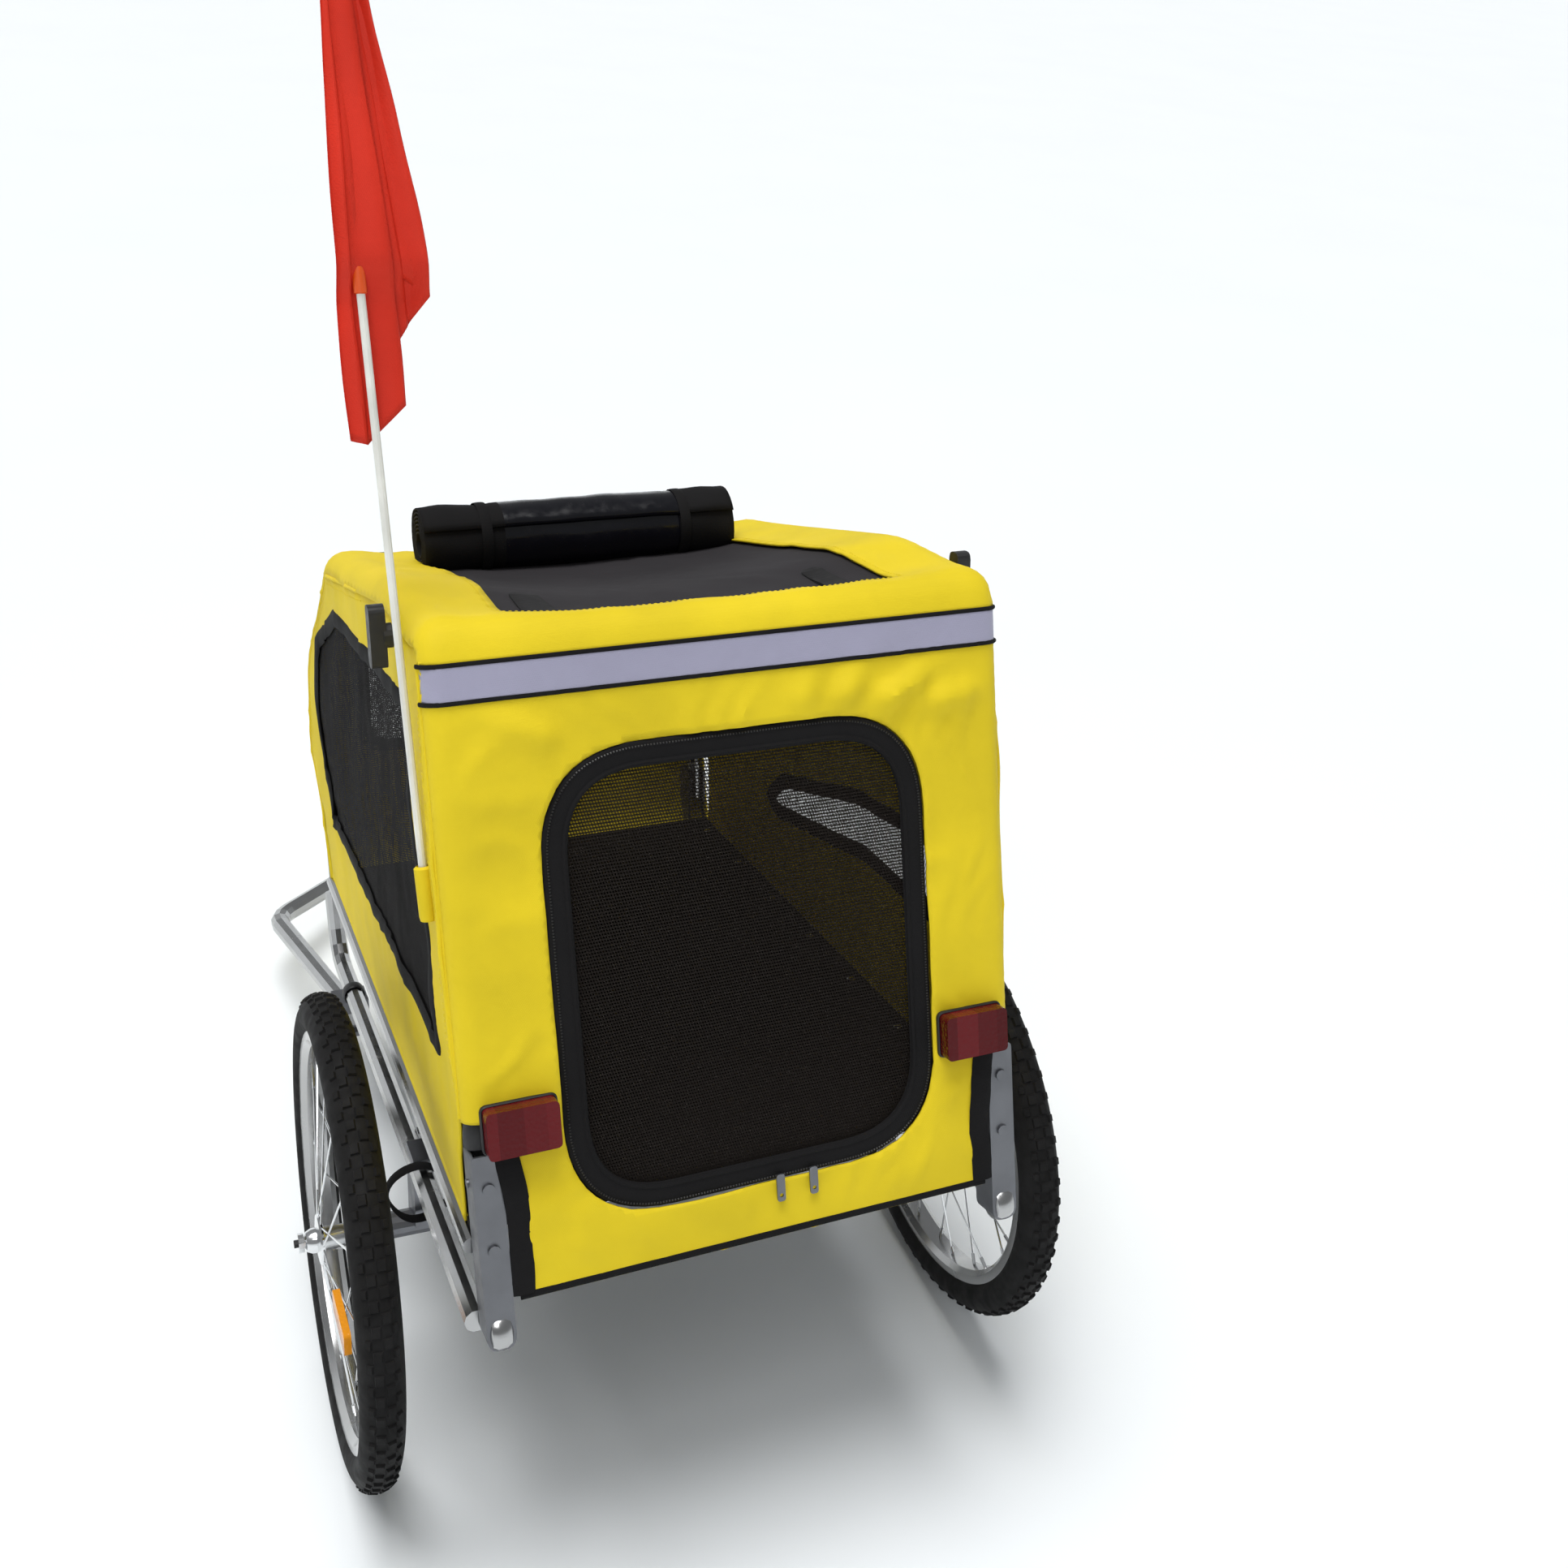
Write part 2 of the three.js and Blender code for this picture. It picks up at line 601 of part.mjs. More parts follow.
function buildTyre() {
  const middle = WHEEL_RADIUS - TYRE_RADIUS;
  const profile = [];
  const arc = 8;
  for (let i = 0; i <= arc; i += 1) {
    const angle = THREE.MathUtils.lerp(-0.75, Math.PI + 0.75, i / arc);
    profile.push([-TYRE_RADIUS * Math.cos(angle), middle + TYRE_RADIUS * Math.sin(angle)]);
  }
  return lathe(profile, 40);
}

const AXLE_RADIUS = 6;
const BEAD_RADIUS = WHEEL_RADIUS - TYRE_RADIUS - TYRE_RADIUS * Math.sin(0.75) - GAP;
const RIM_INNER_RADIUS = BEAD_RADIUS - 14;

function buildRim() {
  const half = 12;
  return lathe([
    [-half, BEAD_RADIUS],
    [-half, BEAD_RADIUS - 8],
    [-6, RIM_INNER_RADIUS],
    [6, RIM_INNER_RADIUS],
    [half, BEAD_RADIUS - 8],
    [half, BEAD_RADIUS],
  ], 40);
}

function buildHub() {
  const bore = AXLE_RADIUS + 0.3;
  const body = lathe([
    [-40, bore],
    [-40, 13],
    [-32, 14],
    [-31, 27],
    [-27, 27],
    [-26, 16],
    [26, 16],
    [27, 27],
    [31, 27],
    [32, 14],
    [40, 13],
    [40, bore],
  ], 14);
  const length = RIM_INNER_RADIUS - GAP - 22;
  const spokes = [];
  for (let i = 0; i < SPOKES; i += 1) {
    const flange = i % 2 ? 29 : -29;
    const spoke = new THREE.CylinderGeometry(1.2, 1.2, length, 4).translate(0, length / 2, 0);
    spoke.rotateZ(Math.atan2(flange, length)).translate(flange, 22, 0);
    spokes.push(spoke.rotateX((i / SPOKES) * 2 * Math.PI));
  }
  return join(body, ...spokes);
}

function buildWheels() {
  for (const [side, s] of SIDES) {
    const axle = pivotGroup(chassis, `axle_${side}_slide`, s * HALF_TRACK, 0, 0);
    axle.rotation.y = -s * CAMBER;
    axle.updateMatrix();
    const head = s * 46;
    const pin = join(
      rod('x', AXLE_RADIUS, -s * 96, head, 0, 0, 12),
      rod('x', 10, s * 40.5, s * 46, 0, 0, 12),
    );
    const buttonBore = rod('x', 4.3, s * 38, s * 47, 0, 0, 12);
    add(axle, `axle_${side}`, cut(pin, buttonBore), STEEL);
    const button = pivotGroup(axle, `axle_button_${side}_slide`, 0, 0, 0);
    add(button, `axle_button_${side}`, rod('x', 4, s * 41.5, s * 50, 0, 0, 12), BLACK_PLASTIC);
    const wheel = pivotGroup(axle, `wheel_${side}_spin`, 0, 0, 0);
    add(wheel, `tyre_${side}`, buildTyre(), RUBBER);
    add(wheel, `rim_${side}`, buildRim(), ALUMINIUM);
    add(wheel, `hub_${side}`, buildHub(), CHROME);
    const lens = roundedRectangle(-75, 0, -12, 12, 5);
    const reflector = plate('x', lens, -3.5, 3.5).translate(s * 22.5, -100, 0);
    add(wheel, `spoke_reflector_${side}`, reflector, AMBER_LENS);

    const socket = join(
      rod('x', 14, -s * 44, -s * 100, 0, 0, 14),
      block([-s * 70, -s * 90].sort((a, b) => a - b), [-20, 20], [4, 84]),
    );
    const receiver = cut(socket, rod('x', AXLE_RADIUS + 0.3, -s * 43, -s * 101, 0, 0, 12));
    const slope = Math.atan(lowerTubeZ(1) - lowerTubeZ(0));
    const passage = rod('y', LOWER_TUBE + 0.6, -60, 60, 0, 0, 16);
    passage.rotateX(slope).translate(s * LOWER_TUBE_X, 0, lowerTubeZ(0));
    add(chassis, `axle_receiver_${side}`, cut(receiver.applyMatrix4(axle.matrix), passage), STEEL);
    const strap = lathe([[-5, 33], [5, 33], [5, 30], [-5, 30]], 20).rotateZ(Math.PI / 2);
    strap.translate(s * (LOWER_TUBE_X + 6), -30, lowerTubeZ(-30) - 14);
    add(chassis, `axle_strap_${side}`, strap, BLACK_CLOTH);
  }
}

// Drawbar: swings under the floor on its pivot, and ends in a coupler held by a drop pin

function buildDrawbar() {
  const { x, y, z } = DRAWBAR_PIVOT;
  const [slot, top] = [DRAWBAR_TUBE + 0.5, lowerTubeZ(y) - LOWER_TUBE - 1.5 - z];
  const clevis = cut(
    block([x - 24, x + 18], [y - 22, y + 18], [z - slot - 6, z + top]),
    block([x - 19, x + 19], [y - 23, y + 19], [z - slot, z + slot]),
  );
  const bolt = rod('z', 5, z - slot - 9, z + slot + 4, x, y, 12);
  add(chassis, 'drawbar_bracket', join(clevis, bolt), STEEL);

  const drawbar = pivotGroup(chassis, 'drawbar_hinge', x, y, z);
  const coupler = [COUPLER.x - x, COUPLER.y - y, COUPLER.z - z];
  const bar = tube([
    [0, -12, 0],
    [0, 10, 0],
    [-59, 330, 0],
    [coupler[0], 560, 0],
    [coupler[0], coupler[1] - 34, 0],
  ], DRAWBAR_TUBE, 50);
  add(drawbar, 'drawbar', cut(bar, rod('z', 5.4, -30, 30, 0, 0, 12)), ALUMINIUM);

  const hitch = pivotGroup(drawbar, 'coupler_hinge', ...coupler);
  const jaw = cut(
    join(
      rod('x', COUPLER_RADIUS, -17, 17, 0, 0, 20),
      block([-17, 17], [-33, 0], [-COUPLER_RADIUS, COUPLER_RADIUS]),
    ),
    block([-7, 7], [-12, 20], [-20, 20]),
    rod('x', 4.4, -20, 20, 0, 0, 12),
  );
  add(hitch, 'hitch_coupler', jaw, STEEL);
  const pin = pivotGroup(hitch, 'hitch_pin_slide', 0, 0, 0);
  add(pin, 'hitch_pin', join(rod('x', 4, -19, 22, 0, 0, 12), rod('x', 8, -22, -17.3, 0, 0, 12)), CHROME);
}

buildBase();
buildBrackets();
buildRearArch();
buildRearDoor();
buildRearRails();
buildFrontArch();
buildFabric();
buildFlag();
buildWheels();
buildDrawbar();

// Pitch the chassis until the coupler and the tyres touch one plane, then stand that plane on z = 0
const tyreDrop = (WHEEL_RADIUS - TYRE_RADIUS) * Math.cos(CAMBER) + TYRE_RADIUS;
const reach = Math.hypot(COUPLER.y, COUPLER.z);
const nosePitch = Math.asin((tyreDrop - COUPLER_RADIUS) / reach) + Math.atan2(COUPLER.z, COUPLER.y);
chassis.rotation.x = -nosePitch;
const extent = new THREE.Box3().setFromObject(trailer, true);
chassis.position.set(-(extent.min.x + extent.max.x) / 2, -(extent.min.y + extent.max.y) / 2, -extent.min.z);

export default trailer;
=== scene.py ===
"""A folding fabric bicycle trailer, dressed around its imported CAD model.

Lengths in the drawing lists are millimetres. BODY puts a point given about the axle (x right, y forward,
z up) into the row frame, REAR does the same for the leaning rear face, about the rear arch's pivots, and
each wheel has a frame of its own.
"""

import json
import math

import bmesh
import bpy
import numpy as np
from mathutils import Matrix, Vector, geometry, noise


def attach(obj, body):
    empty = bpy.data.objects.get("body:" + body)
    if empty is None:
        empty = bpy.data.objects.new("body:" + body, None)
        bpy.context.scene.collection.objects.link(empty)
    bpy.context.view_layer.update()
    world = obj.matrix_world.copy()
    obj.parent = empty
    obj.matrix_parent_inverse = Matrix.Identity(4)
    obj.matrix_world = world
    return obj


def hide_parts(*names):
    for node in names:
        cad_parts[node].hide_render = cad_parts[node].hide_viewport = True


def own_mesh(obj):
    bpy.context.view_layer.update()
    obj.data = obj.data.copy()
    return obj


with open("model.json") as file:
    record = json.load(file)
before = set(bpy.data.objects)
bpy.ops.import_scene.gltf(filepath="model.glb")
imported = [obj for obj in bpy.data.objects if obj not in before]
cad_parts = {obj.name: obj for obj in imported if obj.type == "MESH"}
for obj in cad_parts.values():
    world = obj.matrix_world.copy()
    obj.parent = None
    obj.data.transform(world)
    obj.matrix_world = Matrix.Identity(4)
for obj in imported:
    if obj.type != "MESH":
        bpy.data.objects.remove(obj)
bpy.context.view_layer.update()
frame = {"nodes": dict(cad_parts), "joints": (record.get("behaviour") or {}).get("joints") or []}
JOINTS = {j["name"]: j for j in frame["joints"]}

MM = 0.001
CABIN_HALF = 266
EDGE_ROUND = 16
ROOF_EDGE_ROUND = 30
FACE = -18
LEAN = math.atan(0.16)
FLOOR_TOP = 158.3
SIDES = (("left", -1), ("right", 1))


# Frames

def axes(x, y, z, origin):
    columns = Matrix((x, y, z)).transposed().to_4x4()
    return Matrix.Translation(origin) @ columns @ Matrix.Scale(MM, 4)


def joint_place(name):
    return Vector(JOINTS[name]["pos_m"])


UP = -Vector(JOINTS["drawbar_swing"]["axis"])
FORWARD = Vector(JOINTS["coupler_roll"]["axis"])
RIGHT = Vector((1, 0, 0))
AXLE = (joint_place("wheel_left_spin") + joint_place("wheel_right_spin")) / 2
BODY = axes(RIGHT, FORWARD, UP, AXLE)
REAR_UP = UP * math.cos(LEAN) + FORWARD * math.sin(LEAN)
REAR_FORWARD = FORWARD * math.cos(LEAN) - UP * math.sin(LEAN)
REAR = axes(RIGHT, REAR_FORWARD, REAR_UP, joint_place("rear_arch_fold"))


def wheel_frame(side):
    axle = Vector(JOINTS[f"wheel_{side}_spin"]["axis"]).normalized()
    up = (UP - axle * UP.dot(axle)).normalized()
    return axes(axle, up.cross(axle), up, joint_place(f"wheel_{side}_spin"))


# Materials

class Shader:
    """A Principled material with short names for the nodes that the finishes share."""

    def __init__(self, name, colour, rough, metal=0.0, **sockets):
        self.material = bpy.data.materials.new(name)
        self.material.use_nodes = True
        self.nodes = self.material.node_tree.nodes
        self.links = self.material.node_tree.links
        self.bsdf = self.nodes["Principled BSDF"]
        self.colour = (*colour, 1)
        self.bsdf.inputs["Base Color"].default_value = self.colour
        self.bsdf.inputs["Roughness"].default_value = rough
        self.bsdf.inputs["Metallic"].default_value = metal
        for key, value in sockets.items():
            self.bsdf.inputs[key.replace("_", " ")].default_value = value
        self.place = self.nodes.new("ShaderNodeTexCoord").outputs["Object"]

    def node(self, kind, **values):
        made = self.nodes.new(kind)
        for key, value in values.items():
            if hasattr(made, key):
                setattr(made, key, value)
            else:
                made.inputs[key.replace("_", " ")].default_value = value
        return made

    def join(self, start, end):
        self.links.new(start, end)

    def grain(self, scale, detail=4.0):
        made = self.node("ShaderNodeTexNoise", Scale=scale, Detail=detail)
        self.join(self.place, made.inputs["Vector"])
        return made.outputs["Fac"]

    def range(self, value, low, high, start=0.3, end=0.7):
        made = self.node("ShaderNodeMapRange")
        for key, number in (("From Min", start), ("From Max", end), ("To Min", low), ("To Max", high)):
            made.inputs[key].default_value = number
        self.join(value, made.inputs["Value"])
        return made.outputs["Result"]

    def mottle(self, scale, dark):
        """The colour drifts between itself and a darker shade."""
        mix = self.node("ShaderNodeMix", data_type="RGBA")
        mix.inputs[6].default_value = self.colour
        mix.inputs[7].default_value = (*(c * dark for c in self.colour[:3]), 1)
        self.join(self.range(self.grain(scale), 0, 1), mix.inputs[0])
        self.join(mix.outputs[2], self.bsdf.inputs["Base Color"])
        return self

    def wear(self, scale, low, high):
        self.join(self.range(self.grain(scale), low, high), self.bsdf.inputs["Roughness"])
        return self

    def threads(self, pitch_mm):
        """Two sets of threads crossing at right angles, as a height from 0 to 1."""
        split = self.node("ShaderNodeSeparateXYZ")
        self.join(self.place, split.inputs[0])
        waves = []
        for first, second in (("X", "Y"), ("Z", "Y")):
            total = self.node("ShaderNodeMath", operation="ADD")
            self.join(split.outputs[first], total.inputs[0])
            half = self.node("ShaderNodeMath", operation="MULTIPLY")
            half.inputs[1].default_value = 0.83 if first == "X" else -0.21
            self.join(split.outputs[second], half.inputs[0])
            self.join(half.outputs[0], total.inputs[1])
            scaled = self.node("ShaderNodeMath", operation="MULTIPLY")
            scaled.inputs[1].default_value = math.tau / (pitch_mm * MM)
            self.join(total.outputs[0], scaled.inputs[0])
            wave = self.node("ShaderNodeMath", operation="SINE")
            self.join(scaled.outputs[0], wave.inputs[0])
            waves.append(wave.outputs[0])
        top = self.node("ShaderNodeMath", operation="MAXIMUM")
        self.join(waves[0], top.inputs[0])
        self.join(waves[1], top.inputs[1])
        return self.range(top.outputs[0], 0, 1, -1, 1)

    def bump(self, height, strength, depth_mm):
        made = self.node("ShaderNodeBump")
        made.inputs["Strength"].default_value = strength
        made.inputs["Distance"].default_value = depth_mm * MM
        self.join(height, made.inputs["Height"])
        previous = self.bsdf.inputs["Normal"].links
        if previous:
            self.join(previous[0].from_socket, made.inputs["Normal"])
        self.join(made.outputs["Normal"], self.bsdf.inputs["Normal"])
        return self

    def holes(self, pitch_mm, closed):
        """An open weave: thread where the height is over closed, and nothing between."""
        height = self.threads(pitch_mm)
        self.join(self.range(height, 0, 1, closed - 0.06, closed + 0.06), self.bsdf.inputs["Alpha"])
        return self.bump(height, 0.5, 0.3)


def cloth(name, colour, rough, pitch, dark=0.9, **sockets):
    made = Shader(name, colour, rough, **sockets).mottle(9, dark)
    made.bump(made.threads(pitch), 0.35, 0.25)
    return made.bump(made.grain(45, 5), 0.25, 1.2).material


def metal(name, colour, low, high, **sockets):
    return Shader(name, colour, low, 1.0, **sockets).mottle(12, 0.93).wear(40, low, high).material


def plastic(name, colour, low, high, **sockets):
    made = Shader(name, colour, low, **sockets).mottle(25, 0.8).wear(90, low, high)
    return made.bump(made.grain(900, 2), 0.15, 0.08).material


def lens(name, colour):
    made = Shader(name, colour, 0.2, Specular_IOR_Level=0.18)
    bands = made.node("ShaderNodeTexVoronoi", Scale=46.0, voronoi_dimensions="1D")
    split = made.node("ShaderNodeSeparateXYZ")
    made.join(made.place, split.inputs[0])
    made.join(split.outputs["X"], bands.inputs["W"])
    mix = made.node("ShaderNodeMix", data_type="RGBA")
    mix.inputs[6].default_value = (*(c * 0.35 for c in colour), 1)
    mix.inputs[7].default_value = (*(min(1, c * 1.5 + 0.012) for c in colour), 1)
    made.join(bands.outputs["Color"], mix.inputs[0])
    made.join(mix.outputs[2], made.bsdf.inputs["Base Color"])
    cells = made.node("ShaderNodeTexVoronoi", Scale=260.0)
    made.join(made.place, cells.inputs["Vector"])
    return made.bump(cells.outputs["Distance"], 0.5, 0.8).material


YELLOW = cloth("yellow_polyester", (0.83, 0.63, 0.016), 0.7, 1.1, 0.86, Specular_IOR_Level=0.22)
WEBBING = cloth("black_webbing", (0.008, 0.0075, 0.008), 0.85, 2.2, 0.7, Specular_IOR_Level=0.2)
HATCH = cloth("charcoal_hatch", (0.028, 0.025, 0.028), 0.9, 1.8, 0.75, Specular_IOR_Level=0.3)
PATCH = cloth("hook_tape", (0.009, 0.008, 0.009), 0.95, 3.0, 0.6)
FLOOR_CLOTH = cloth("floor_cloth", (0.014, 0.0115, 0.010), 0.85, 2.0, 0.7, Specular_IOR_Level=0.2)
TAPE = cloth("silver_tape", (0.36, 0.35, 0.47), 0.42, 1.5, 0.92)
FLAG_CLOTH = cloth("flag_nylon", (0.68, 0.028, 0.010), 0.6, 1.3, 0.82, Specular_IOR_Level=0.25)
MESH = Shader("window_mesh", (0.013, 0.010, 0.008), 0.85, Specular_IOR_Level=0.15).holes(2.6, 0.87).material
DENSE_MESH = Shader("dense_window_mesh", (0.010, 0.009, 0.009), 0.85, Specular_IOR_Level=0.1)
DENSE_MESH = DENSE_MESH.holes(2.6, 0.5).material
ALLOY = metal("satin_aluminium", (0.46, 0.46, 0.46), 0.20, 0.28)
STEEL = metal("zinc_plate", (0.20, 0.205, 0.22), 0.36, 0.55)
CHROME = metal("bright_steel", (0.78, 0.79, 0.8), 0.08, 0.2)
PLASTIC = plastic("black_plastic", (0.012, 0.012, 0.013), 0.4, 0.6)
ROD = plastic("white_glass_fibre", (0.82, 0.82, 0.76), 0.3, 0.45)
FERRULE = plastic("orange_ferrule", (0.8, 0.09, 0.005), 0.35, 0.5)
FILM = plastic("clear_film_over_black", (0.004, 0.004, 0.007), 0.10, 0.3, Specular_IOR_Level=0.4)
RED = lens("red_prism", (0.105, 0.0008, 0.003))
AMBER = lens("amber_prism", (0.9, 0.25, 0.005))
RUBBER = Shader("tyre_rubber", (0.011, 0.0105, 0.0105), 0.8, Specular_IOR_Level=0.2).mottle(40, 0.6)
RUBBER = RUBBER.wear(60, 0.65, 0.9).bump(RUBBER.grain(500, 3), 0.3, 0.3).material


# Meshes

def mesh_object(name, points, faces, material, smooth=True):
    data = bpy.data.meshes.new(name)
    data.from_pydata([tuple(p) for p in points], [], faces)
    made = bpy.data.objects.new(name, data)
    bpy.context.scene.collection.objects.link(made)
    data.materials.append(material)
    tidy = bmesh.new()
    tidy.from_mesh(data)
    bmesh.ops.recalc_face_normals(tidy, faces=tidy.faces)
    tidy.to_mesh(data)
    tidy.free()
    if smooth:
        data.shade_smooth()
        data.set_sharp_from_angle(angle=math.radians(35))
    return made


def thicken(made, millimetres):
    solid = made.modifiers.new("thickness", "SOLIDIFY")
    solid.thickness = millimetres * MM
    solid.offset = 0
    return made


def fillet(corners, steps=6):
    """A closed outline of (u, v, radius) corners as plain points."""
    outline = []
    count = len(corners)
    for i, (u, v, radius) in enumerate(corners):
        here = Vector((u, v))
        before = Vector(corners[i - 1][:2]) - here
        after = Vector(corners[(i + 1) % count][:2]) - here
        turn = before.angle(after)
        if radius <= 0 or turn > 3.1:
            outline.append(here)
            continue
        back = min(radius / math.tan(turn / 2), 0.48 * before.length, 0.48 * after.length)
        start, end = here + before.normalized() * back, here + after.normalized() * back
        for k in range(steps + 1):
            t = k / steps
            outline.append(start * (1 - t) ** 2 + here * 2 * t * (1 - t) + end * t * t)
    return outline


def rounded_box(half, low, high, radius):
    return [(-half, low, radius), (half, low, radius), (half, high, radius), (-half, high, radius)]


def rectangle(half, low, high):
    return [Vector(p) for p in ((-half, low), (half, low), (half, high), (-half, high))]


def resample(points, step, closed=True):
    """The same line with points about step apart."""
    ends = points + [points[0]] if closed else points
    out = []
    for a, b in zip(ends, ends[1:]):
        pieces = max(1, round((b - a).length / step))
        out += [a.lerp(b, k / pieces) for k in range(pieces)]
    return out if closed else out + [points[-1]]


def inside(points, outline):
    """Which of the points lie in the outline."""
    x, y = points[:, 0], points[:, 1]
    within = np.zeros(len(points), bool)
    for a, b in zip(outline, outline[1:] + outline[:1]):
        if a.y == b.y:
            continue
        crosses = (a.y > y) != (b.y > y)
        within ^= crosses & (x < (b.x - a.x) * (y - a.y) / (b.y - a.y) + a.x)
    return within


def panel(name, outer, holes, step, place, material, thick=2.2):
    """A cloth panel: a flat outline less its holes, meshed and put where place(u, v) says."""
    rings = [resample(ring, step) for ring in [outer, *holes]]
    corners = [p for ring in rings for p in ring]
    edges = []
    start = 0
    for ring in rings:
        edges += [(start + k, start + (k + 1) % len(ring)) for k in range(len(ring))]
        start += len(ring)
    low = Vector((min(p.x for p in rings[0]), min(p.y for p in rings[0])))
    high = Vector((max(p.x for p in rings[0]), max(p.y for p in rings[0])))
    columns, rows = (max(2, int((high[i] - low[i]) / step)) for i in (0, 1))
    grid = np.array([
        (low.x + (c + 0.5 * (r % 2) + 0.25) * step, low.y + (r + 0.5) * step)
        for r in range(rows)
        for c in range(columns)
    ])
    wanted = inside(grid, rings[0])
    for ring in rings[1:]:
        wanted &= ~inside(grid, ring)
    rim = np.array([tuple(p) for p in corners])
    for k, point in enumerate(grid):
        if wanted[k]:
            wanted[k] = np.min(np.sum((rim - point) ** 2, axis=1)) > (0.45 * step) ** 2
    corners += [Vector(p) for p in grid[wanted]]
    flat, _, faces, *_ = geometry.delaunay_2d_cdt(corners, edges, [], 0, 1e-5)
    middles = np.array([tuple(sum((flat[i] for i in f), Vector((0, 0))) / len(f)) for f in faces])
    keep = inside(middles, rings[0])
    for ring in rings[1:]:
        keep &= ~inside(middles, ring)
    faces = [f for f, wanted_face in zip(faces, keep) if wanted_face]
    used = sorted({i for f in faces for i in f})
    new = {old: k for k, old in enumerate(used)}
    made = mesh_object(
        name,
        [place(*flat[i]) for i in used],
        [[new[i] for i in f] for f in faces],
        material,
    )
    area = sum(abs(geometry.area_tri(*(flat[i].to_3d() for i in f))) for f in faces) * MM * MM
    thicken(made, thick)
    size = ((high.x - low.x) * MM, (high.y - low.y) * MM)
    return made, size, min(area, size[0] * size[1])


def sweep(name, path, outward, section, material, closed=False):
    """section's (sideways, outward) points, in metres, carried along path.

    outward holds a direction for each point of the path.
    """
    points, faces = [], []
    count, ring = len(path), len(section)
    for k, here in enumerate(path):
        before = path[k - 1] if closed or k else here
        after = path[(k + 1) % count] if closed or k < count - 1 else here
        along = (after - before).normalized()
        out = (outward[k] - along * outward[k].dot(along)).normalized()
        aside = along.cross(out)
        points += [here + aside * a + out * b for a, b in section]
    for k in range(count if closed else count - 1):
        n = (k + 1) % count
        faces += [
            (k * ring + i, k * ring + (i + 1) % ring, n * ring + (i + 1) % ring, n * ring + i)
            for i in range(ring)
        ]
    if not closed:
        faces += [tuple(range(ring)), tuple((count - 1) * ring + i for i in range(ring))]
    return mesh_object(name, points, faces, material)


def oval(width, height, sides=10, lift=0.0):
    turns = [math.tau * k / sides for k in range(sides)]
    return [(width / 2 * MM * math.cos(t), (height / 2 * math.sin(t) + lift) * MM) for t in turns]


def on(place, outline):
    """An outline put on a surface, with the surface's outward direction at each point."""
    path, outward = [], []
    for p in outline:
        here = place(p.x, p.y)
        du = place(p.x + 1, p.y) - here
        dv = place(p.x, p.y + 1) - here
        path.append(here)
        outward.append(du.cross(dv).normalized())
    return path, outward


def stitches(name, path, outward, lift, material, length=3.2, gap=2.2, thick=0.55):
    """A row of short raised threads along a line."""
    points, faces = [], []
    travelled, pitch = 0.0, (length + gap) * MM
    half = [thick * MM, length * MM / 2]
    for a, b, out in zip(path, path[1:], outward):
        span = (b - a).length
        while travelled < span:
            along = (b - a).normalized()
            aside = along.cross(out).normalized() * half[0]
            middle = a + along * travelled + out * lift * MM
            base = len(points)
            for end in (-half[1], half[1]):
                points += [middle + along * end + aside, middle + along * end - aside]
            points += [middle + along * end * 0.5 + out * half[0] for end in (-half[1], half[1])]
            faces += [(base, base + 1, base + 3, base + 2), (base, base + 4, base + 5, base + 2)]
            faces += [(base + 1, base + 4, base + 5, base + 3), (base, base + 1, base + 4)]
            faces += [(base + 2, base + 5, base + 3)]
            travelled += pitch
        travelled -= span
    return mesh_object(name, points, faces, material, smooth=False)


def lathe(name, profile, segments, place, material):
    """profile's (x, radius) points turned about the frame's X axis."""
    points, faces = [], []
    count = len(profile)
    for k in range(segments):
        turn = math.tau * k / segments
        points += [place @ Vector((x, r * math.cos(turn), r * math.sin(turn))) for x, r in profile]
    for k in range(segments):
        n = (k + 1) % segments
        faces += [
            (k * count + i, k * count + (i + 1) % count, n * count + (i + 1) % count, n * count + i)
            for i in range(count)
        ]
    return mesh_object(name, points, faces, material)


def merged(name, parts):
    """Several objects as one piece."""
    bpy.ops.object.select_all(action="DESELECT")
    for o in parts:
        o.select_set(True)
    bpy.context.view_layer.objects.active = parts[0]
    bpy.ops.object.join()
    parts[0].name = name
    return parts[0]


def tube(name, points, radius, material, place, sides):
    path = [place @ Vector(p) for p in points]
    guide = (place.to_3x3() @ Vector((0.3, 0.5, 0.81))).normalized()
    return sweep(name, path, [guide] * len(path), oval(2 * radius, 2 * radius, sides), material)


def crumple(made):
    """Gives the cloth piece a mesh of its own."""
    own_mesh(made)
    return made


def place_piece(made, body, slot, *nodes):
    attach(made, body)
    if nodes:
        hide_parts(*nodes)
    return made


# The cabin's outline from the side: rear hem, rear top, ridge, roof front, brow, nose, front hem

REAR_HEM = Vector((-304, 103))
REAR_TOP = Vector((REAR_HEM.x + (698 - REAR_HEM.y) * math.tan(LEAN), 698))
PROFILE = resample(fillet([
    (*REAR_HEM, 0), (*REAR_TOP, 38), (-40, 703, 300), (372, 638, 90), (622, 446, 110), (654, 300, 60),
    (590, 120, 0),
], 14), 4, closed=False)
LENGTHS = np.cumsum([0] + [(b - a).length for a, b in zip(PROFILE, PROFILE[1:])])
ROOF_START = 565
SAG_END, SAG_REACH = 1340, 300


def along_profile(distance):
    k = int(min(max(np.searchsorted(LENGTHS, distance) - 1, 0), len(PROFILE) - 2))
    a, b = PROFILE[k], PROFILE[k + 1]
    share = (distance - LENGTHS[k]) / (LENGTHS[k + 1] - LENGTHS[k])
    out = Vector((-(b - a).y, (b - a).x)).normalized()
    return a.lerp(b, share), out


def distance_where(test):
    return next(LENGTHS[k] for k, p in enumerate(PROFILE) if LENGTHS[k] > ROOF_START and test(p))


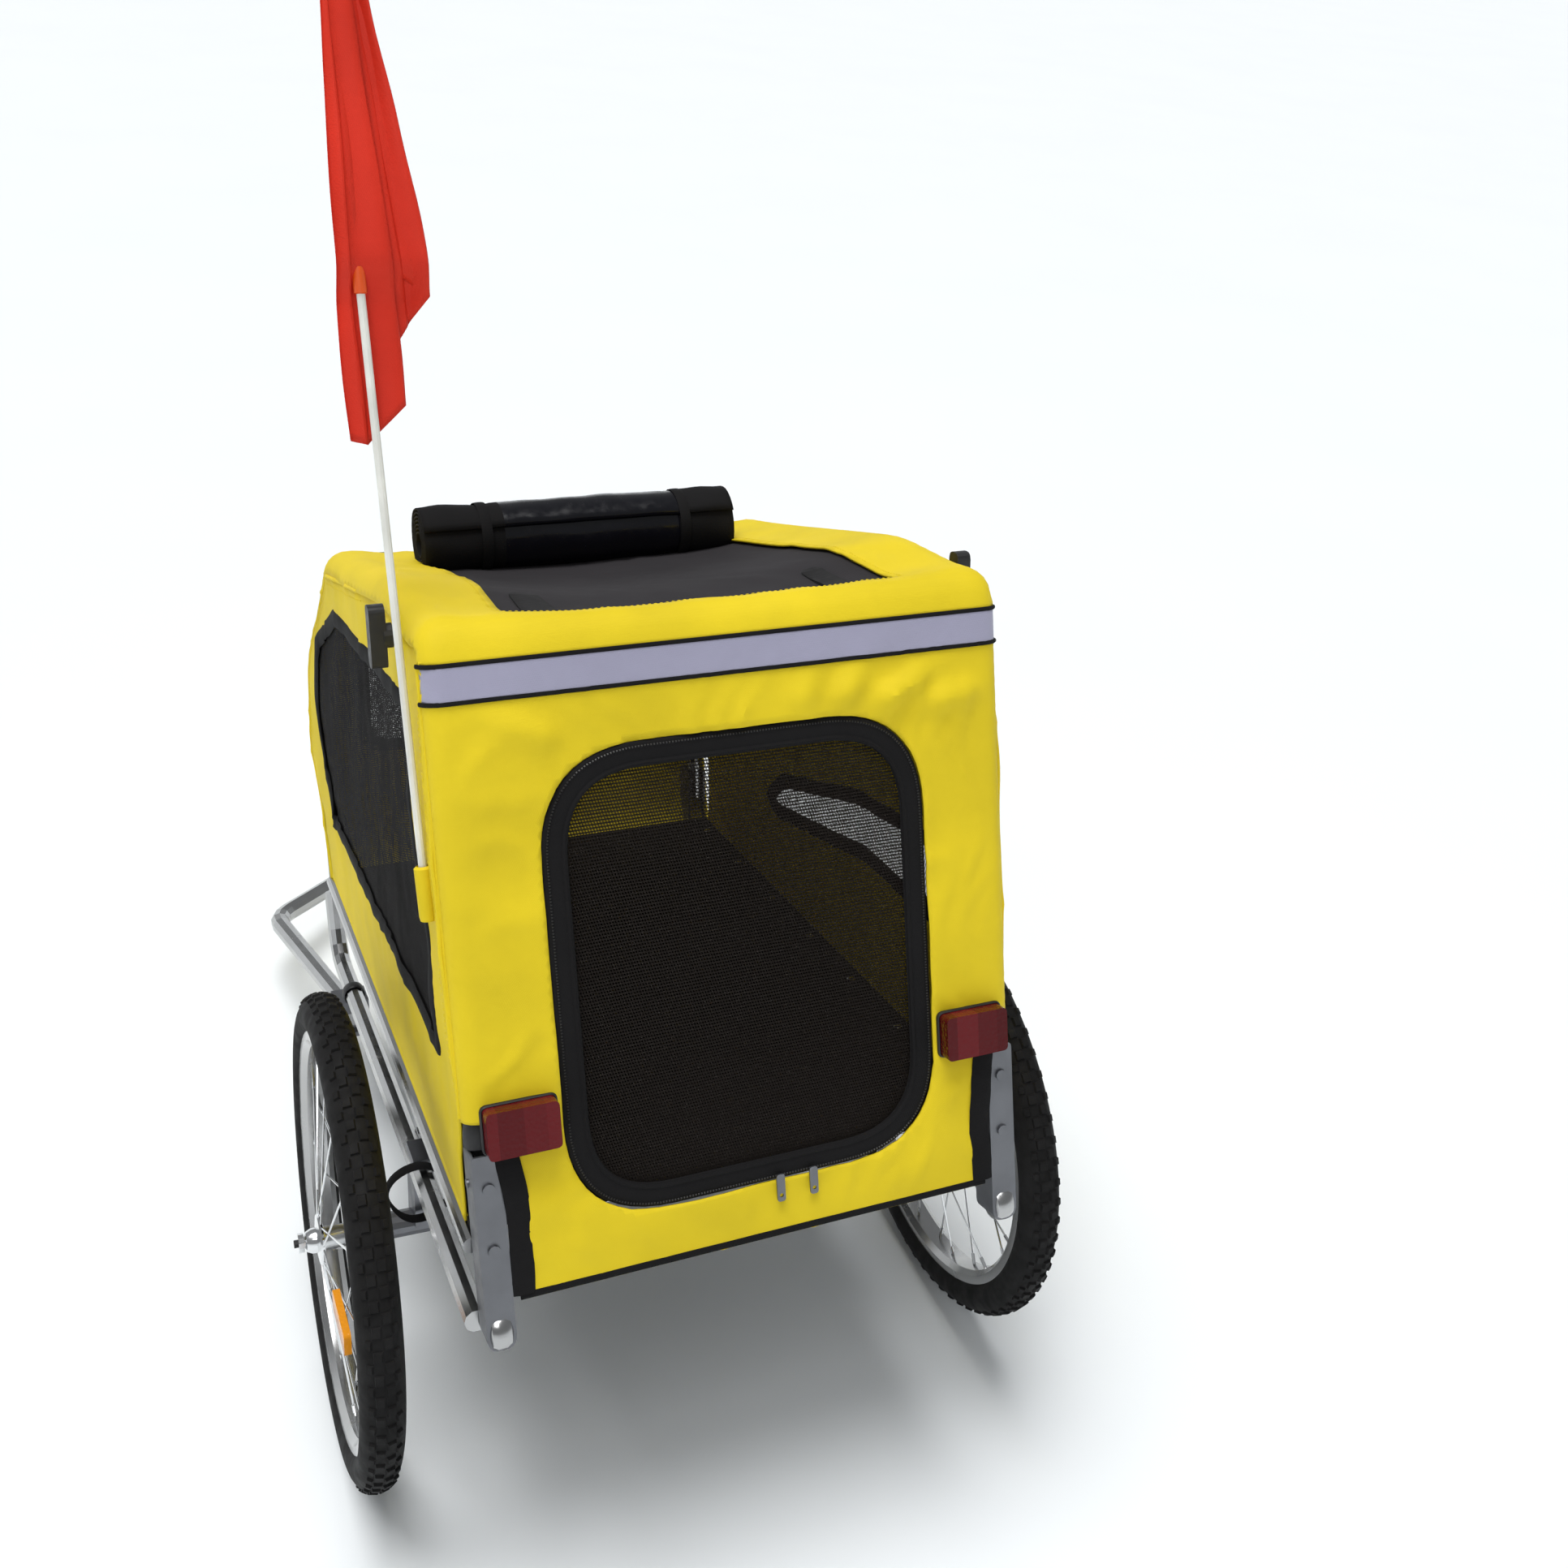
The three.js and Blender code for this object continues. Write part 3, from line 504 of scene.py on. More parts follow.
def crease(u, v, seed, size):
    """Soft folds in stretched cloth: ridges that wander, from 0 to about 1."""
    wander = noise.noise(Vector((u / size, v / size, seed)))
    ridge = noise.noise(Vector((u / size * 2.3 + 2 * wander, v / size * 0.9 - wander, seed + 5)))
    return 0.6 * wander + 0.8 * (0.5 - abs(ridge)) ** 2 * 2


def fade(distance, reach):
    t = min(max(distance / reach, 0), 1)
    return t * t * (3 - 2 * t)


def edge_turn(across, radius=EDGE_ROUND):
    """Where a wrapped panel's flat width goes at its rounded side edge: (x, depth below the face)."""
    straight = CABIN_HALF - radius
    stretched = across * (straight + radius * math.pi / 2) / WRAP_HALF
    beyond = abs(stretched) - straight
    if beyond <= 0:
        return stretched, 0.0
    angle = min(beyond / radius, math.pi / 2)
    x = straight + radius * math.sin(angle)
    return math.copysign(x, across), radius * (1 - math.cos(angle))


def roof_round(distance):
    """The roof's side edges are rounder than the rear face's, and ease into them."""
    return EDGE_ROUND + (ROOF_EDGE_ROUND - EDGE_ROUND) * fade(distance - ROOF_START, 80)


WRAP_HALF = CABIN_HALF - EDGE_ROUND + EDGE_ROUND * math.pi / 2
ROOF_SAG = 24


def on_top(across, distance, lower=0.0):
    """The roof and front: one curved sheet that sags between the side edges."""
    (y, z), out = along_profile(distance)
    x, depth = edge_turn(across, roof_round(distance))
    span = 1 - (x / CABIN_HALF) ** 4
    sag = ROOF_SAG * span * fade(distance - ROOF_START, 110) * fade(SAG_END - distance, SAG_REACH)
    calm = fade(CABIN_HALF - abs(x), 60) * fade(distance - ROOF_START, 60)
    folds = 4 * crease(across, distance, 3.0, 130) * calm
    lap = 1.4 * (1 - fade(distance - ROOF_START, 20))
    inward = depth + sag + lower - folds - lap
    return BODY @ Vector((x, y - out.x * inward, z - out.y * inward))


def on_side(s):
    def place(y, z):
        swell = 4.5 * math.sin(math.pi * min(max((z - 150) / 540, 0), 1))
        folds = 5.0 * crease(y, z, 9.0 + s, 110) * fade(z - 165, 70) * fade(690 - z, 60)
        return BODY @ Vector((s * (CABIN_HALF - 3 + swell + folds), y, z))

    return place


# Folds above the door's corners: where each starts, its direction and its height
REAR_FOLDS = ((128, 0.50, 14.0), (92, 0.98, 11.0), (172, 0.12, 10.0), (60, 1.25, 7.0), (-150, 2.6, 8.0))


def on_rear(across, up, out=0.0):
    """The rear face, with the radiating folds above the door's corners."""
    x, depth = edge_turn(across)
    folds = 0.0
    for corner, turn, size in REAR_FOLDS:
        du, dv = x - corner, up - 372
        along = du * math.cos(turn) + dv * math.sin(turn)
        aside = -du * math.sin(turn) + dv * math.cos(turn)
        folds += size * math.exp(-((aside / 13) ** 2)) * fade(along, 30) * fade(120 - along, 90)
    folds += 7.5 * crease(x, up, 21.0, 105)
    calm = fade(CABIN_HALF - abs(x), 45) * fade(up + 109, 40) * (1 - 0.75 * fade(up - 385, 40))
    calm *= fade(470 - up, 50)
    return REAR @ Vector((x, FACE + depth - folds * calm - out, up))


# Yellow cloth, its windows and its bindings

def build_top():
    start = ROOF_START
    hem = LENGTHS[-1] - 18
    hatch = [distance_where(lambda p: p.x > y) for y in (-170, 330)]
    window = [distance_where(lambda p: p.x > 430 and p.y < z) for z in (560, 300)]
    outer = rectangle(WRAP_HALF, start, hem)
    hatch_hole = fillet([(-180, hatch[0], 8), (180, hatch[0], 8), (166, hatch[1], 60), (-166, hatch[1], 60)])
    front_hole = fillet(rounded_box(190, *window, 40))
    roof, size, area = panel("roof_cloth", outer, [hatch_hole, front_hole], 11, on_top, YELLOW)
    place_piece(roof, "chassis", "yellow_polyester", "roof_panel", "front_panel")
    crumple(roof)

    def below(a, d):
        share = min(max((d - hatch[0]) / (hatch[1] - hatch[0]), 0), 1)
        belly = 13 * math.sin(math.pi * share) * max(0, 1 - (a / 180) ** 2)
        return on_top(a, d, 4 + belly)

    grown = [Vector((p.x * 1.06, hatch[0] - 14 + (p.y - hatch[0]) * 1.05)) for p in hatch_hole]
    cover, size, area = panel("hatch_cloth", grown, [], 13, below, HATCH, 1.4)
    place_piece(cover, "chassis", "charcoal_mesh", "roof_hatch")
    crumple(cover)

    grown = [Vector((p.x * 1.06, p.y + (8 if p.y > sum(window) / 2 else -8))) for p in front_hole]
    screen, size, area = panel("front_window_mesh", grown, [], 14, below, MESH, 0.8)
    place_piece(screen, "chassis", "charcoal_mesh", "front_mesh")
    crumple(screen)

    for k, (x, width) in enumerate(((-140, 18), (138, 14))):
        patch = fillet([(x - width, hatch[0] + 5, 4), (x + width, hatch[0] + 5, 4),
                        (x + width * 0.7, hatch[0] + 108, 10), (x - width * 0.7, hatch[0] + 108, 10)])
        tape, size, area = panel(
            f"hook_tape_{k}", patch, [], 10, lambda a, d: below(a, d) + UP * 1.6 * MM, PATCH, 1.2,
        )
        place_piece(tape, "chassis", "black_binding")
        crumple(tape)

    path, out = on(on_top, resample(front_hole, 12))
    edge = sweep("front_window_binding", path, out, oval(15, 4), WEBBING, closed=True)
    crumple(place_piece(edge, "chassis", "black_binding"))
    grow = [Vector((p.x * 1.035, p.y)) for p in resample(hatch_hole, 10)]
    path, out = on(on_top, grow + grow[:1])
    crumple(place_piece(stitches("hatch_stitching", path, out, 1.3, YELLOW), "chassis", "yellow_polyester"))


def build_sides():
    inner = [Vector((p.x, p.y)) for p in PROFILE]
    inset = []
    for k, p in enumerate(inner):
        _, out = along_profile(LENGTHS[k] + (0.01 if k < len(inner) - 1 else -0.01))
        inset.append(p - out * roof_round(LENGTHS[k]))
    start = next(k for k, p in enumerate(inset) if p.y > 272)
    sewn = [Vector((-263, 272)).lerp(inset[start], 0)] + inset[start:-1]
    sewn[0].x = REAR_HEM.x + (272 - REAR_HEM.y) * math.tan(LEAN) + EDGE_ROUND
    base = [Vector(p) for p in ((594, 252), (568, 250), (560, 153.5), (-240, 153.5), (-256, 268))]
    windows = {
        "left": [
            (-187, 299, 14), (460, 270, 30), (546, 400, 40), (465, 507, 60),
            (300, 577, 80), (-120, 604, 30), (-150, 470, 20), (-187, 415, 20),
        ],
        "right": [
            (-185, 300, 20), (58, 306, 60), (300, 264, 20), (346, 272, 10),
            (300, 309, 30), (83, 367, 100), (-120, 384, 60), (-185, 372, 25),
        ],
    }
    middle = Vector((180, 430))
    for side, s in SIDES:
        place = on_side(s)
        window = fillet(windows[side])
        centre = sum(window, Vector((0, 0))) / len(window)
        cloth_panel, size, area = panel(f"side_cloth_{side}", sewn + base, [window], 11, place, YELLOW)
        place_piece(cloth_panel, "chassis", "yellow_polyester", f"side_panel_{side}")
        crumple(cloth_panel)

        grown = [p + (p - centre).normalized() * 9 for p in window]
        screen, size, area = panel(
            f"side_window_mesh_{side}", grown, [], 14,
            lambda y, z, s=s: place(y, z) - RIGHT * s * 2.6 * MM, DENSE_MESH if side == "left" else MESH, 0.8,
        )
        place_piece(screen, "chassis", "charcoal_mesh", f"side_mesh_{side}")
        crumple(screen)

        path, out = on(place, resample(window, 11))
        binding = sweep(f"side_window_binding_{side}", path, out, oval(20, 5), WEBBING, closed=True)
        crumple(place_piece(binding, "chassis", "black_binding"))
        seam = resample(sewn, 9, closed=False)
        path, _ = on(place, seam)
        piping = sweep(f"side_piping_{side}", path, [RIGHT * s] * len(path), oval(5, 5, 8), YELLOW)
        crumple(place_piece(piping, "chassis", "yellow_polyester"))
        inward = [p + (middle - p).normalized() * 9 for p in seam]
        path, _ = on(place, inward)
        row = stitches(f"side_stitching_{side}", path, [RIGHT * s] * len(path), 1.3, YELLOW)
        crumple(place_piece(row, "chassis", "yellow_polyester"))
        hem = [place(y, 158) for y in np.linspace(-240, 560, 60)]
        edge = sweep(f"side_hem_{side}", hem, [RIGHT * s] * len(hem), oval(9, 4.4), YELLOW)
        crumple(place_piece(edge, "chassis", "yellow_polyester"))


DOOR_LOW, DOOR_HIGH, DOOR_HALF, DOOR_ROUND = -53.7, 371.7, 180, 78


def door_outline(inset):
    box = rounded_box(DOOR_HALF - inset, DOOR_LOW + inset, DOOR_HIGH - inset, DOOR_ROUND - inset + 18)
    return fillet(box, 12)


def build_rear():
    half = [
        (229, -109.4, 0), (226, -40, 20), (231, 8, 26), (240, 58.7, 10),
        (WRAP_HALF, 58.7, 3), (WRAP_HALF, 458, 0),
    ]
    notch = ((229, -104), (226.5, -55), (226.5, -30), (229.5, 0), (234, 30), (239, 52))
    outer = fillet(half + [(-x, v, r) for x, v, r in reversed(half)])
    door = door_outline(-1)
    face, size, area = panel("rear_cloth", outer, [door], 6, on_rear, YELLOW)
    place_piece(face, "rear_arch", "yellow_polyester", "rear_panel")

    for side, s in SIDES:
        cut_out = [Vector((s * x, v)) for x, v in notch]
        path = [on_rear(p.x, p.y, 1.5) for p in resample(cut_out, 6, closed=False)]
        edge = sweep(f"corner_binding_{side}", path, [-REAR_FORWARD] * len(path), oval(22, 5), WEBBING)
        place_piece(edge, "rear_arch", "black_binding")
        path, out = on(on_rear, [Vector((s * (WRAP_HALF - 1), v)) for v in np.linspace(62, 456, 50)])
        seam = sweep(f"rear_piping_{side}", path, out, oval(5, 5, 8), YELLOW)
        place_piece(seam, "rear_arch", "yellow_polyester")
    path, out = on(on_rear, [Vector((x, -106)) for x in np.linspace(-231, 231, 60)])
    place_piece(sweep("rear_hem", path, out, oval(8, 4.6), WEBBING), "rear_arch", "black_binding")

    low, high = 422.3, 453.7
    band = rectangle(WRAP_HALF - 2, low, high)
    stripe, size, area = panel("reflective_band", band, [], 6, lambda a, v: on_rear(a, v, 2.4), TAPE, 0.8)
    place_piece(stripe, "rear_arch", "silver_tape", "reflective_stripe")
    for name, level in (("low", low), ("high", high)):
        path, out = on(on_rear, [Vector((a, level)) for a in np.linspace(-WRAP_HALF + 2, WRAP_HALF - 2, 90)])
        edge = sweep(f"band_edge_{name}", path, out, oval(4, 2.2, 8, 2.6), WEBBING)
        place_piece(edge, "rear_arch", "black_binding")


def build_door():
    def flat(x, v, out=0.0):
        return REAR @ Vector((x, FACE + 1.5 - out, v))

    ring = door_outline(11)
    path, out = on(flat, resample(ring, 7))
    band = sweep("door_binding_band", path, out, oval(23, 6.5, 14), WEBBING, closed=True)
    inner, inner_out = on(flat, resample(door_outline(19), 7))
    piping = sweep("door_inner_piping", inner, inner_out, oval(6, 8, 8), WEBBING, closed=True)
    place_piece(merged("door_binding", [band, piping]), "rear_door", "black_binding", "rear_door_binding")
    zip_line, zip_out = on(flat, resample(door_outline(4), 3))
    teeth = stitches("door_zip_teeth", zip_line, zip_out, 3.6, PLASTIC, 1.6, 1.2, 0.9)
    place_piece(teeth, "rear_door", "black_plastic")

    def slack(x, v):
        belly = (1 - (x / DOOR_HALF) ** 2) * math.sin(math.pi * (v - DOOR_LOW) / (DOOR_HIGH - DOOR_LOW))
        return REAR @ Vector((x, FACE + 4 + 2.0 * belly + 0.8 * crease(x, v, 31.0, 90), v))

    screen, size, area = panel("door_mesh", door_outline(12), [], 12, slack, MESH, 0.8)
    place_piece(screen, "rear_door", "charcoal_mesh", "rear_door_mesh")


def build_reflector_bases():
    """A thin black backing shows as a dark line round each lens."""
    for side, s in SIDES:
        outline = resample(fillet([
            (s * 186, 31, 6), (s * 252, 31, 6), (s * 252, 74.5, 6), (s * 186, 74.5, 6),
        ]), 6)
        path = [REAR @ Vector((p.x, FACE - 2.5, p.y)) for p in outline]
        outward = [-REAR_FORWARD] * len(path)
        rim = sweep(f"reflector_base_{side}", path, outward, oval(3, 5, 8), PLASTIC, closed=True)
        place_piece(rim, "rear_arch", "black_plastic")


# Rolled rain cover: one sheet wound up, as long as the way from the hatch's rear edge to the front window's
# lower edge. It is black at its ends, with a clear window that shows as gloss in the middle.

ROLL_Y, ROLL_Z, ROLL_RADIUS = 266, 659, 38


def build_roll():
    inner_radius, outer_radius = 12, ROLL_RADIUS
    hatch_start = distance_where(lambda p: p.x > -170)
    window_end = distance_where(lambda p: p.x > 430 and p.y < 300)
    length = window_end - hatch_start
    turns = length / (math.pi * (inner_radius + outer_radius))
    steps = round(turns * 30)
    spiral = []
    for k in range(steps + 1):
        share = k / steps
        radius = inner_radius + (outer_radius - inner_radius) * share
        spiral.append((radius, math.tau * turns * share))
    columns = np.linspace(-176, 176, 45)

    def point(x, radius, turn):
        pinch = 1.2 * math.exp(-(((abs(x) - 108) / 9) ** 2)) - 2.0 * fade(abs(x) - 130, 30)
        rough = Vector((x / 34, math.cos(turn) * 1.6, math.sin(turn) * 1.6))
        lump = (1.2 + 1.6 * fade(abs(x) - 110, 40)) * noise.noise(rough)
        droop = 1.5 * (x / 176) ** 2
        r = radius - pinch * radius / outer_radius + lump
        return BODY @ Vector((x, ROLL_Y + r * math.cos(turn), ROLL_Z + r * math.sin(turn) - droop))

    points = [point(x, r, t) for x in columns for r, t in spiral]
    ring = steps + 1
    faces = [
        (c * ring + k, c * ring + k + 1, (c + 1) * ring + k + 1, (c + 1) * ring + k)
        for c in range(len(columns) - 1)
        for k in range(steps)
    ]
    roll = mesh_object("rain_cover", points, faces, WEBBING)
    roll.data.materials.append(FILM)
    for k, face in enumerate(roll.data.polygons):
        x = columns[k // steps]
        face.material_index = int(-92 < x < 108)
    thicken(roll, 1.6)
    place_piece(roll, "front_arch", "clear_cover", "cover_roll")
    for name, x in (("left", -108), ("right", 118)):
        path, outward = [], []
        for k in range(40):
            turn = math.tau * k / 40
            out = BODY.to_3x3() @ Vector((0, math.cos(turn), math.sin(turn)))
            y, z = ROLL_Y + ROLL_RADIUS * math.cos(turn), ROLL_Z + ROLL_RADIUS * math.sin(turn)
            path.append(BODY @ Vector((x, y, z)))
            outward.append(out.normalized())
        strap = sweep(f"cover_strap_{name}", path, outward, oval(12, 1.6), WEBBING, closed=True)
        place_piece(strap, "front_arch", "black_binding")


# Wheels

def tread_blocks(place, name, radius, tyre):
    """Knobs round the tyre: a staggered pair in the middle and a row at each shoulder."""
    points, faces = [], []
    rows = [(-5.5, 0.0, 4.6, 9.0), (5.5, 0.5, 4.6, 9.0), (-14.5, 0.5, 3.4, 7.0), (14.5, 0.0, 3.4, 7.0)]
    count = 66
    for across, offset, half_width, half_length in rows:
        tilt = across / tyre
        for k in range(count):
            turn = math.tau * (k + offset) / count
            spin = Matrix.Rotation(turn, 4, "X")
            lean = Matrix.Rotation(tilt, 4, "Y")
            base = len(points)
            foot, top = tyre - 3.5, tyre - 0.2
            for height, share in ((foot, 1.0), (top, 0.78)):
                for a, b in ((-1, -1), (1, -1), (1, 1), (-1, 1)):
                    local = Vector((a * half_width * share, b * half_length * share * 0.62, height))
                    points.append(place @ (spin @ (Vector((0, 0, radius - tyre)) + lean @ local)))
            faces += [(base, base + 1, base + 2, base + 3), (base + 4, base + 5, base + 6, base + 7)]
            faces += [(base + i, base + (i + 1) % 4, base + 4 + (i + 1) % 4, base + 4 + i) for i in range(4)]
    return mesh_object(name, points, faces, RUBBER, smooth=False)


def build_wheels():
    radius, tyre = 250, 24
    core = radius - tyre
    casing = tyre - 2.6
    for side, _ in SIDES:
        place = wheel_frame(side)
        body = f"wheel_{side}"
        carcass = [(casing * math.sin(a), core + casing * math.cos(a)) for a in np.linspace(-2.32, 2.32, 25)]
        skin = lathe(f"carcass_{side}", carcass, 120, place, RUBBER)
        knobs = tread_blocks(place, f"knobs_{side}", radius, tyre)
        place_piece(merged(f"knobbly_tyre_{side}", [skin, knobs]), body, "tyre_rubber", f"tyre_{side}")
        profile = [
            (-16.6, 209), (-15, 212.5), (-13, 209), (-12, 204), (12, 204), (13, 209), (15, 212.5), (16.6, 209),
            (16, 202), (10, 196.5), (0, 195.3), (-10, 196.5), (-16, 202),
        ]
        rim = lathe(f"alloy_rim_{side}", profile, 120, place, ALLOY)
        place_piece(rim, body, "rim_alloy", f"rim_{side}")
        barrel = [
            (-39, 6.6), (-38, 10), (-33, 12.5), (-28, 13), (-26, 25), (-24, 26), (-22, 25), (-20, 13), (0, 11.5),
            (20, 13), (22, 25), (24, 26), (26, 25), (28, 13), (33, 12.5), (38, 10), (39, 6.6),
        ]
        pieces = [lathe(f"barrel_{side}", barrel, 48, place, CHROME)]
        spokes = 28
        for k in range(spokes):
            flank = 1 if k % 2 else -1
            sweep_angle = 0.75 if (k // 2) % 2 else -0.75
            rim_turn = math.tau * k / spokes
            hub_turn = rim_turn + sweep_angle
            inner = (flank * 24, 21 * math.cos(hub_turn), 21 * math.sin(hub_turn))
            outer = (flank * 3, 197 * math.cos(rim_turn), 197 * math.sin(rim_turn))
            pieces.append(tube(f"spoke_{side}_{k}", [inner, outer], 1.1, CHROME, place, 7))
            nipple = [Vector(outer).lerp(Vector(inner), share) for share in (0.0, 0.075)]
            pieces.append(tube(f"nipple_{side}_{k}", nipple, 2.0, CHROME, place, 7))
        place_piece(merged(f"hub_and_spokes_{side}", pieces), body, "bright_steel", f"hub_{side}")


# Flag: a long pennant that hangs limp in pleats from the top of its rod

FLAG_GATHER = 2.3


def build_flag():
    """The pennant's cut is a triangle. Its gathers are as deep as it takes to hold that much cloth."""
    foot = BODY @ Vector((-273.5, -210, 448))
    lift = Vector(JOINTS["flag_lift"]["axis"]).normalized()
    mast = axes(RIGHT, lift.cross(RIGHT), lift, foot)
    columns, rows = 49, 60
    pleats = [
        (-22, 9, 394), (-9, 7, 390), (25, 10, 420), (7, 15, 445), (34, 18, 484), (55, 14, 506), (26, 22, 526),
    ]
    points = []
    for r in range(rows):
        v = r / (rows - 1)
        for c in range(columns):
            u = c / (columns - 1) * (len(pleats) - 1)
            k = min(int(u), len(pleats) - 2)
            soft = fade(u - k, 1)
            x, y, low = (a * (1 - soft) + b * soft for a, b in zip(pleats[k], pleats[k + 1]))
            z = low + (858 - low) * v
            narrow = 1 - 0.66 * fade(z - 470, 380)
            in_front = 15 * fade(z - 500, 36)
            wave = 2.4 * noise.noise(Vector((c / 9, v * 5, 2)))
            gather = FLAG_GATHER * math.sin(math.tau * u) * (1 - 0.5 * v)
            points.append(mast @ Vector((x * narrow + 3 + wave, y - in_front + wave + gather, z)))
    faces = [
        (r * columns + c, r * columns + c + 1, (r + 1) * columns + c + 1, (r + 1) * columns + c)
        for r in range(rows - 1)
        for c in range(columns - 1)
    ]
    flag = thicken(mesh_object("pennant", points, faces, FLAG_CLOTH), 0.5)
    place_piece(flag, "flag_mast", "flag_cloth", "flag")
    casing = lathe(
        "flag_casing", [(540, 4.4), (543, 6.4), (700, 6.2), (853, 5.8), (857, 4.4)], 20,
        mast @ Matrix.Rotation(-math.pi / 2, 4, "Y"), FLAG_CLOTH,
    )
    place_piece(casing, "flag_mast", "flag_cloth")
    collar = lathe(
        "flag_ferrule",
        [(-12, 3.7), (-11, 5.2), (11, 5.2), (12, 3.7)],
        20,
        mast @ Matrix.Translation((0, 0, 520)) @ Matrix.Rotation(math.pi / 2, 4, "Y"),
        FERRULE,
    )
    place_piece(collar, "flag_mast", "flag_cloth")
    sleeve = [
        (-24, 5.2), (-22, 7.6), (20, 7.2), (24, 6.4), (22, 5.2),
    ]
    pocket = lathe(
        "flag_sleeve", sleeve, 24,
        mast @ Matrix.Translation((0, 0, 14)) @ Matrix.Rotation(math.pi / 2, 4, "Y"), YELLOW,
    )
    crumple(place_piece(pocket, "chassis", "yellow_polyester", "flag_pocket"))


# Small fittings on the frame

def lower_tube_z(y):
    return 64 - 0.034 * y


def band_round(name, centre, ring, section, material):
    """A strap round a tube that runs fore and aft. ring holds its (sideways, up) points about the centre."""
    middle = BODY @ Vector(centre)
    path = [BODY @ Vector((centre[0] + a, centre[1], centre[2] + b)) for a, b in ring]
    return sweep(name, path, [(p - middle).normalized() for p in path], section, material, closed=True)


def build_fittings():
    for side, s in SIDES:
        turns = [math.tau * k / 36 for k in range(36)]
        ring = [(s * 31 * (1 + 0.10 * math.sin(2 * a)) * math.cos(a), 31 * math.sin(a)) for a in turns]
        strap = band_round(f"ring_strap_{side}", (s * 272, -30, 51), ring, oval(15, 3), WEBBING)
        place_piece(strap, "chassis", "black_binding", f"axle_strap_{side}")
        turns = [math.tau * k / 28 for k in range(28)]
        ring = [(12.6 * math.cos(a), 12.6 * math.sin(a)) for a in turns]
        grip = band_round(f"tube_band_{side}", (s * 266, 430, lower_tube_z(430)), ring, oval(16, 3), PLASTIC)
        place_piece(grip, "chassis", "black_plastic")
        upright = REAR @ Matrix.Translation((s * 251, 0, 0)) @ Matrix.Rotation(-math.pi / 2, 4, "Y")
        sleeve = [(32, 12.5), (34, 14.5), (46, 14), (57, 12.5), (60, 10.5), (60, 9.8), (32, 9.8)]
        socket = lathe(f"arch_socket_{side}", sleeve, 28, upright, PLASTIC)
        place_piece(socket, "rear_arch", "black_plastic")
        end = [(-11, 5), (-10.5, 13), (-8.5, 17), (-4, 19), (4, 19), (8.5, 17), (10.5, 13), (11, 5)]
        cap = lathe(f"bracket_end_{side}", end, 32, REAR @ Matrix.Translation((s * 251, -8, -136)), ALLOY)
        place_piece(cap, "chassis", "frame_aluminium")
    heads = []
    for side, s in SIDES:
        for k, y in enumerate(np.linspace(-200, 520, 7)):
            upright = Matrix.Rotation(math.pi / 2, 4, "Y")
            place = BODY @ Matrix.Translation((s * 246, y, FLOOR_TOP + 0.4)) @ upright
            profile = [(0, 5.0), (-1.0, 4.8), (-2.2, 3.2), (-2.8, 0.4)]
            heads.append(lathe(f"floor_rivet_{side}_{k}", profile, 16, place, CHROME))
    place_piece(merged("floor_rivets", heads), "chassis", "bright_steel")


# CAD pieces that keep their own shape get a finish and smooth shading

CAD_FINISH = {
    "spoke_reflector": AMBER, "zip_pull": STEEL, "bracket": STEEL, "button": PLASTIC, "receiver": STEEL,
    "floor_board": FLOOR_CLOTH, "coupler": STEEL, "pin": CHROME, "axle": CHROME, "knob": PLASTIC,
    "flag_pole": ROD,
    "reflector": RED, "drawbar": ALLOY, "rail": ALLOY, "tube": ALLOY, "arch": ALLOY,
}


def finish_for(name):
    return next((finish for key, finish in CAD_FINISH.items() if key in name), PLASTIC)


def finish_cad():
    for name, node in frame["nodes"].items():
        if node.hide_render:
            continue
        node.data.materials.clear()
        node.data.materials.append(finish_for(name))
        node.data.shade_smooth()
        node.data.set_sharp_from_angle(angle=math.radians(38))


# Floor, light and camera

